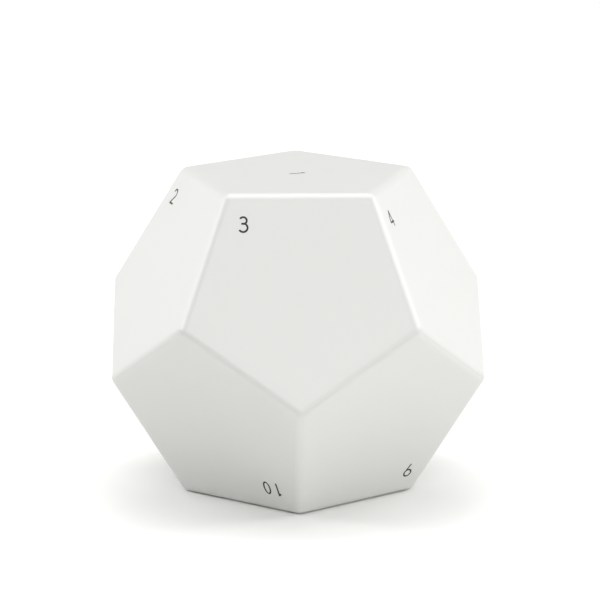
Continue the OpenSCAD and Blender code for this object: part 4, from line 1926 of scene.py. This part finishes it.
    def switch(self) -> None:
        """Tactile switch with its plunger, and the button that reaches through the plate."""
        low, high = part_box("reset_switch")
        centre = (low + high) / 2
        plunger_low, plunger_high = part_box("switch_plunger")
        radius = (plunger_high.x - plunger_low.x) / 2
        at = Matrix.Translation((centre.x, centre.y, 0.0))
        piece = refined("reset_switch", "switch_case", 0.12 * MM, self.finishes.dark_plastic)
        self.fit(piece, Body.BASE, "switch_body", "reset_switch")
        self.leads("reset_switch", low, high, "switch_body")
        former = Former()
        soft = 0.15 * MM
        former.lathe(
            [(plunger_low.z, 0.0), (plunger_low.z, radius)]
            + [
                (plunger_high.z - soft * (1 - math.sin(a)), radius - soft * (1 - math.cos(a)))
                for a in quarter(3)
            ]
            + [(plunger_high.z, 0.0)],
            at,
            36,
        )
        self.fit(
            former.piece("plunger_pin", [self.finishes.button]),
            Body.BUTTON,
            "button_plastic",
            "switch_plunger",
        )
        low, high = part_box("reset_button")
        stem, flange = 1.6 * MM, (high.x - low.x) / 2
        seat = low.z + 0.8 * MM
        soft = 0.5 * MM
        former = Former()
        former.lathe(
            [(low.z, 0.0), (low.z, stem), (seat, stem), (seat, flange - 0.1 * MM)]
            + [(seat + 0.1 * MM, flange), (seat + 0.9 * MM, flange), (seat + MM, flange - 0.1 * MM)]
            + [(seat + MM, stem)]
            + [(high.z - soft * (1 - math.sin(a)), stem - soft * (1 - math.cos(a))) for a in quarter()]
            + [(high.z - 0.12 * MM, 0.4 * stem), (high.z - 0.16 * MM, 0.0)],
            at,
            48,
        )
        self.fit(
            former.piece("button_cap", [self.finishes.button]),
            Body.BUTTON,
            "button_plastic",
            "reset_button",
        )

    def pads(self) -> None:
        """A ring of gilt stitching pads near the edge of the board, on its upper side."""
        low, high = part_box("main_board")
        centre, radius = (low + high) / 2, (high.x - low.x) / 2 - 1.2 * MM
        former = Former()
        height = 0.03 * MM
        former.lathe(
            [(0.0, 0.22 * MM), (0.0, 0.5 * MM), (height, 0.48 * MM), (height, 0.24 * MM)],
            Matrix.Identity(4),
            16,
        )
        stock = former.piece("pad_stock")
        places = []
        for index in range(60):
            at = polar(radius, 6.0 * index + 3.0)
            clear = all(
                (at - polar(29 * MM, azimuth)).length > 5 * MM for azimuth in (90.0, 234.0, 306.0)
            )
            if clear and abs(abs(at.y) - 8 * MM) > 2.5 * MM:
                places.append(Matrix.Translation((at.x + centre.x, at.y, high.z)))
        piece = self.repeater.repeat("board_pads", stock, places, [self.finishes.gold])
        self.fit(piece, Body.BASE, "board")


# ---------------------------------------------------------------------------------------------
# Studio
# ---------------------------------------------------------------------------------------------


@dataclass
class SoftBox:
    """A square studio light."""

    name: str
    azimuth: float
    elevation: float
    distance: float
    size: float
    power: float


@dataclass
class Studio:
    """White floor, soft boxes and the camera."""

    centre: Vector
    distance: float = 0.8792
    azimuth: float = -1.05
    elevation: float = 14.52
    lens: float = 208.5
    aim_up: float = 0.4622
    aim_right: float = 0.0427
    floor_radius: float = 6.0
    ambient: float = 0.12
    boxes: tuple[SoftBox, ...] = (
        SoftBox("sweep_box", 90.0, 62.0, 1.9, 1.6, 6.5),
        SoftBox("crown_box", 90.0, 78.0, 1.0, 0.35, 1.0),
        SoftBox("top_box", 90.0, 86.0, 1.5, 1.4, 12.5),
        SoftBox("rear_left_box", 152.0, 28.0, 1.3, 1.2, 9.2),
        SoftBox("rear_right_box", 25.0, 28.0, 1.3, 1.2, 9.4),
        SoftBox("left_box", 187.0, 36.0, 0.9, 0.25, 1.5),
        SoftBox("right_box", -7.0, 36.0, 0.9, 0.27, 1.5),
        SoftBox("front_box", -90.0, 32.0, 1.4, 0.9, 6.4),
        SoftBox("fill_box", -50.0, 14.0, 1.2, 0.6, 2.6),
    )

    def build(self) -> None:
        """Builds the floor, the lights and the camera."""
        self.floor()
        self.world()
        for box in self.boxes:
            self.light(box)
        self.camera()

    def floor(self) -> None:
        """A wide plain floor under the object."""
        former = Former()
        steps = 64
        rim = [former.mesh.verts.new(polar(self.floor_radius, 360 * k / steps)) for k in range(steps)]
        former.mesh.faces.new(rim)
        kit = ShaderKit("studio_floor")
        cloud = kit.noise(kit.place(), 0.4, 2.0)
        paint = kit.finish(
            {
                "Base Color": kit.blend(cloud, (0.83, 0.832, 0.818), (0.845, 0.847, 0.833)),
                "Roughness": 0.6 + cloud * 0.1,
            },
            {"Specular IOR Level": 0.1},
        )
        floor = former.piece("floor", [paint])
        if floor.data.polygons[0].normal.z < 0:
            floor.data.flip_normals()

    def world(self) -> None:
        """Even white surroundings."""
        world = bpy.data.worlds.new("studio")
        world.use_nodes = True
        background = world.node_tree.nodes["Background"]
        background.inputs["Color"].default_value = (1.0, 1.0, 1.0, 1.0)
        background.inputs["Strength"].default_value = self.ambient
        bpy.context.scene.world = world

    def light(self, box: SoftBox) -> None:
        """Hangs one soft box so that it looks at the object.

        Args:
            box: The soft box.
        """
        lamp = bpy.data.lights.new(box.name, "AREA")
        lamp.shape = "SQUARE"
        lamp.size = box.size
        lamp.energy = box.power
        place = bpy.data.objects.new(box.name, lamp)
        level = math.cos(math.radians(box.elevation)) * box.distance
        place.location = self.centre + polar(
            level, box.azimuth, math.sin(math.radians(box.elevation)) * box.distance
        )
        place.rotation_euler = (self.centre - place.location).to_track_quat("-Z", "Y").to_euler()
        bpy.context.scene.collection.objects.link(place)

    def camera(self) -> None:
        """Sets up the camera."""
        data = bpy.data.cameras.new("camera")
        data.lens = self.lens
        data.sensor_width = 36.0
        data.clip_start, data.clip_end = 0.01, 100.0
        camera = bpy.data.objects.new("camera", data)
        azimuth, elevation = math.radians(self.azimuth), math.radians(self.elevation)
        back = Vector(
            (
                math.sin(azimuth) * math.cos(elevation),
                -math.cos(azimuth) * math.cos(elevation),
                math.sin(elevation),
            )
        )
        camera.location = self.centre + back * self.distance
        turn = (-back).to_track_quat("-Z", "Y").to_matrix()
        aim = Euler((math.radians(self.aim_up), -math.radians(self.aim_right), 0.0)).to_matrix()
        camera.rotation_euler = (turn @ aim).to_euler()
        bpy.context.scene.collection.objects.link(camera)
        bpy.context.scene.camera = camera


def main() -> None:
    """Builds the studio and every sub-assembly."""
    logging.basicConfig(level=logging.INFO, format="%(name)s: %(message)s")
    bpy.context.scene.view_settings.view_transform = "Standard"
    low, high = Vector(CAD_BOX[0]), Vector(CAD_BOX[1])
    half = (high.z - low.z) / 2
    Studio(Vector((0.0, 0.0, half))).build()
    finishes, repeater = Finishes(), RepeatRecipe()
    for assembly in (
        Housing(finishes, repeater, Dodecahedron(half)),
        CellTray(finishes, repeater),
        Fasteners(finishes, repeater),
        Electronics(finishes, repeater),
    ):
        assembly.build()
        LOG.info("%s is done", type(assembly).__name__)


if __name__ == "__main__":
    main()
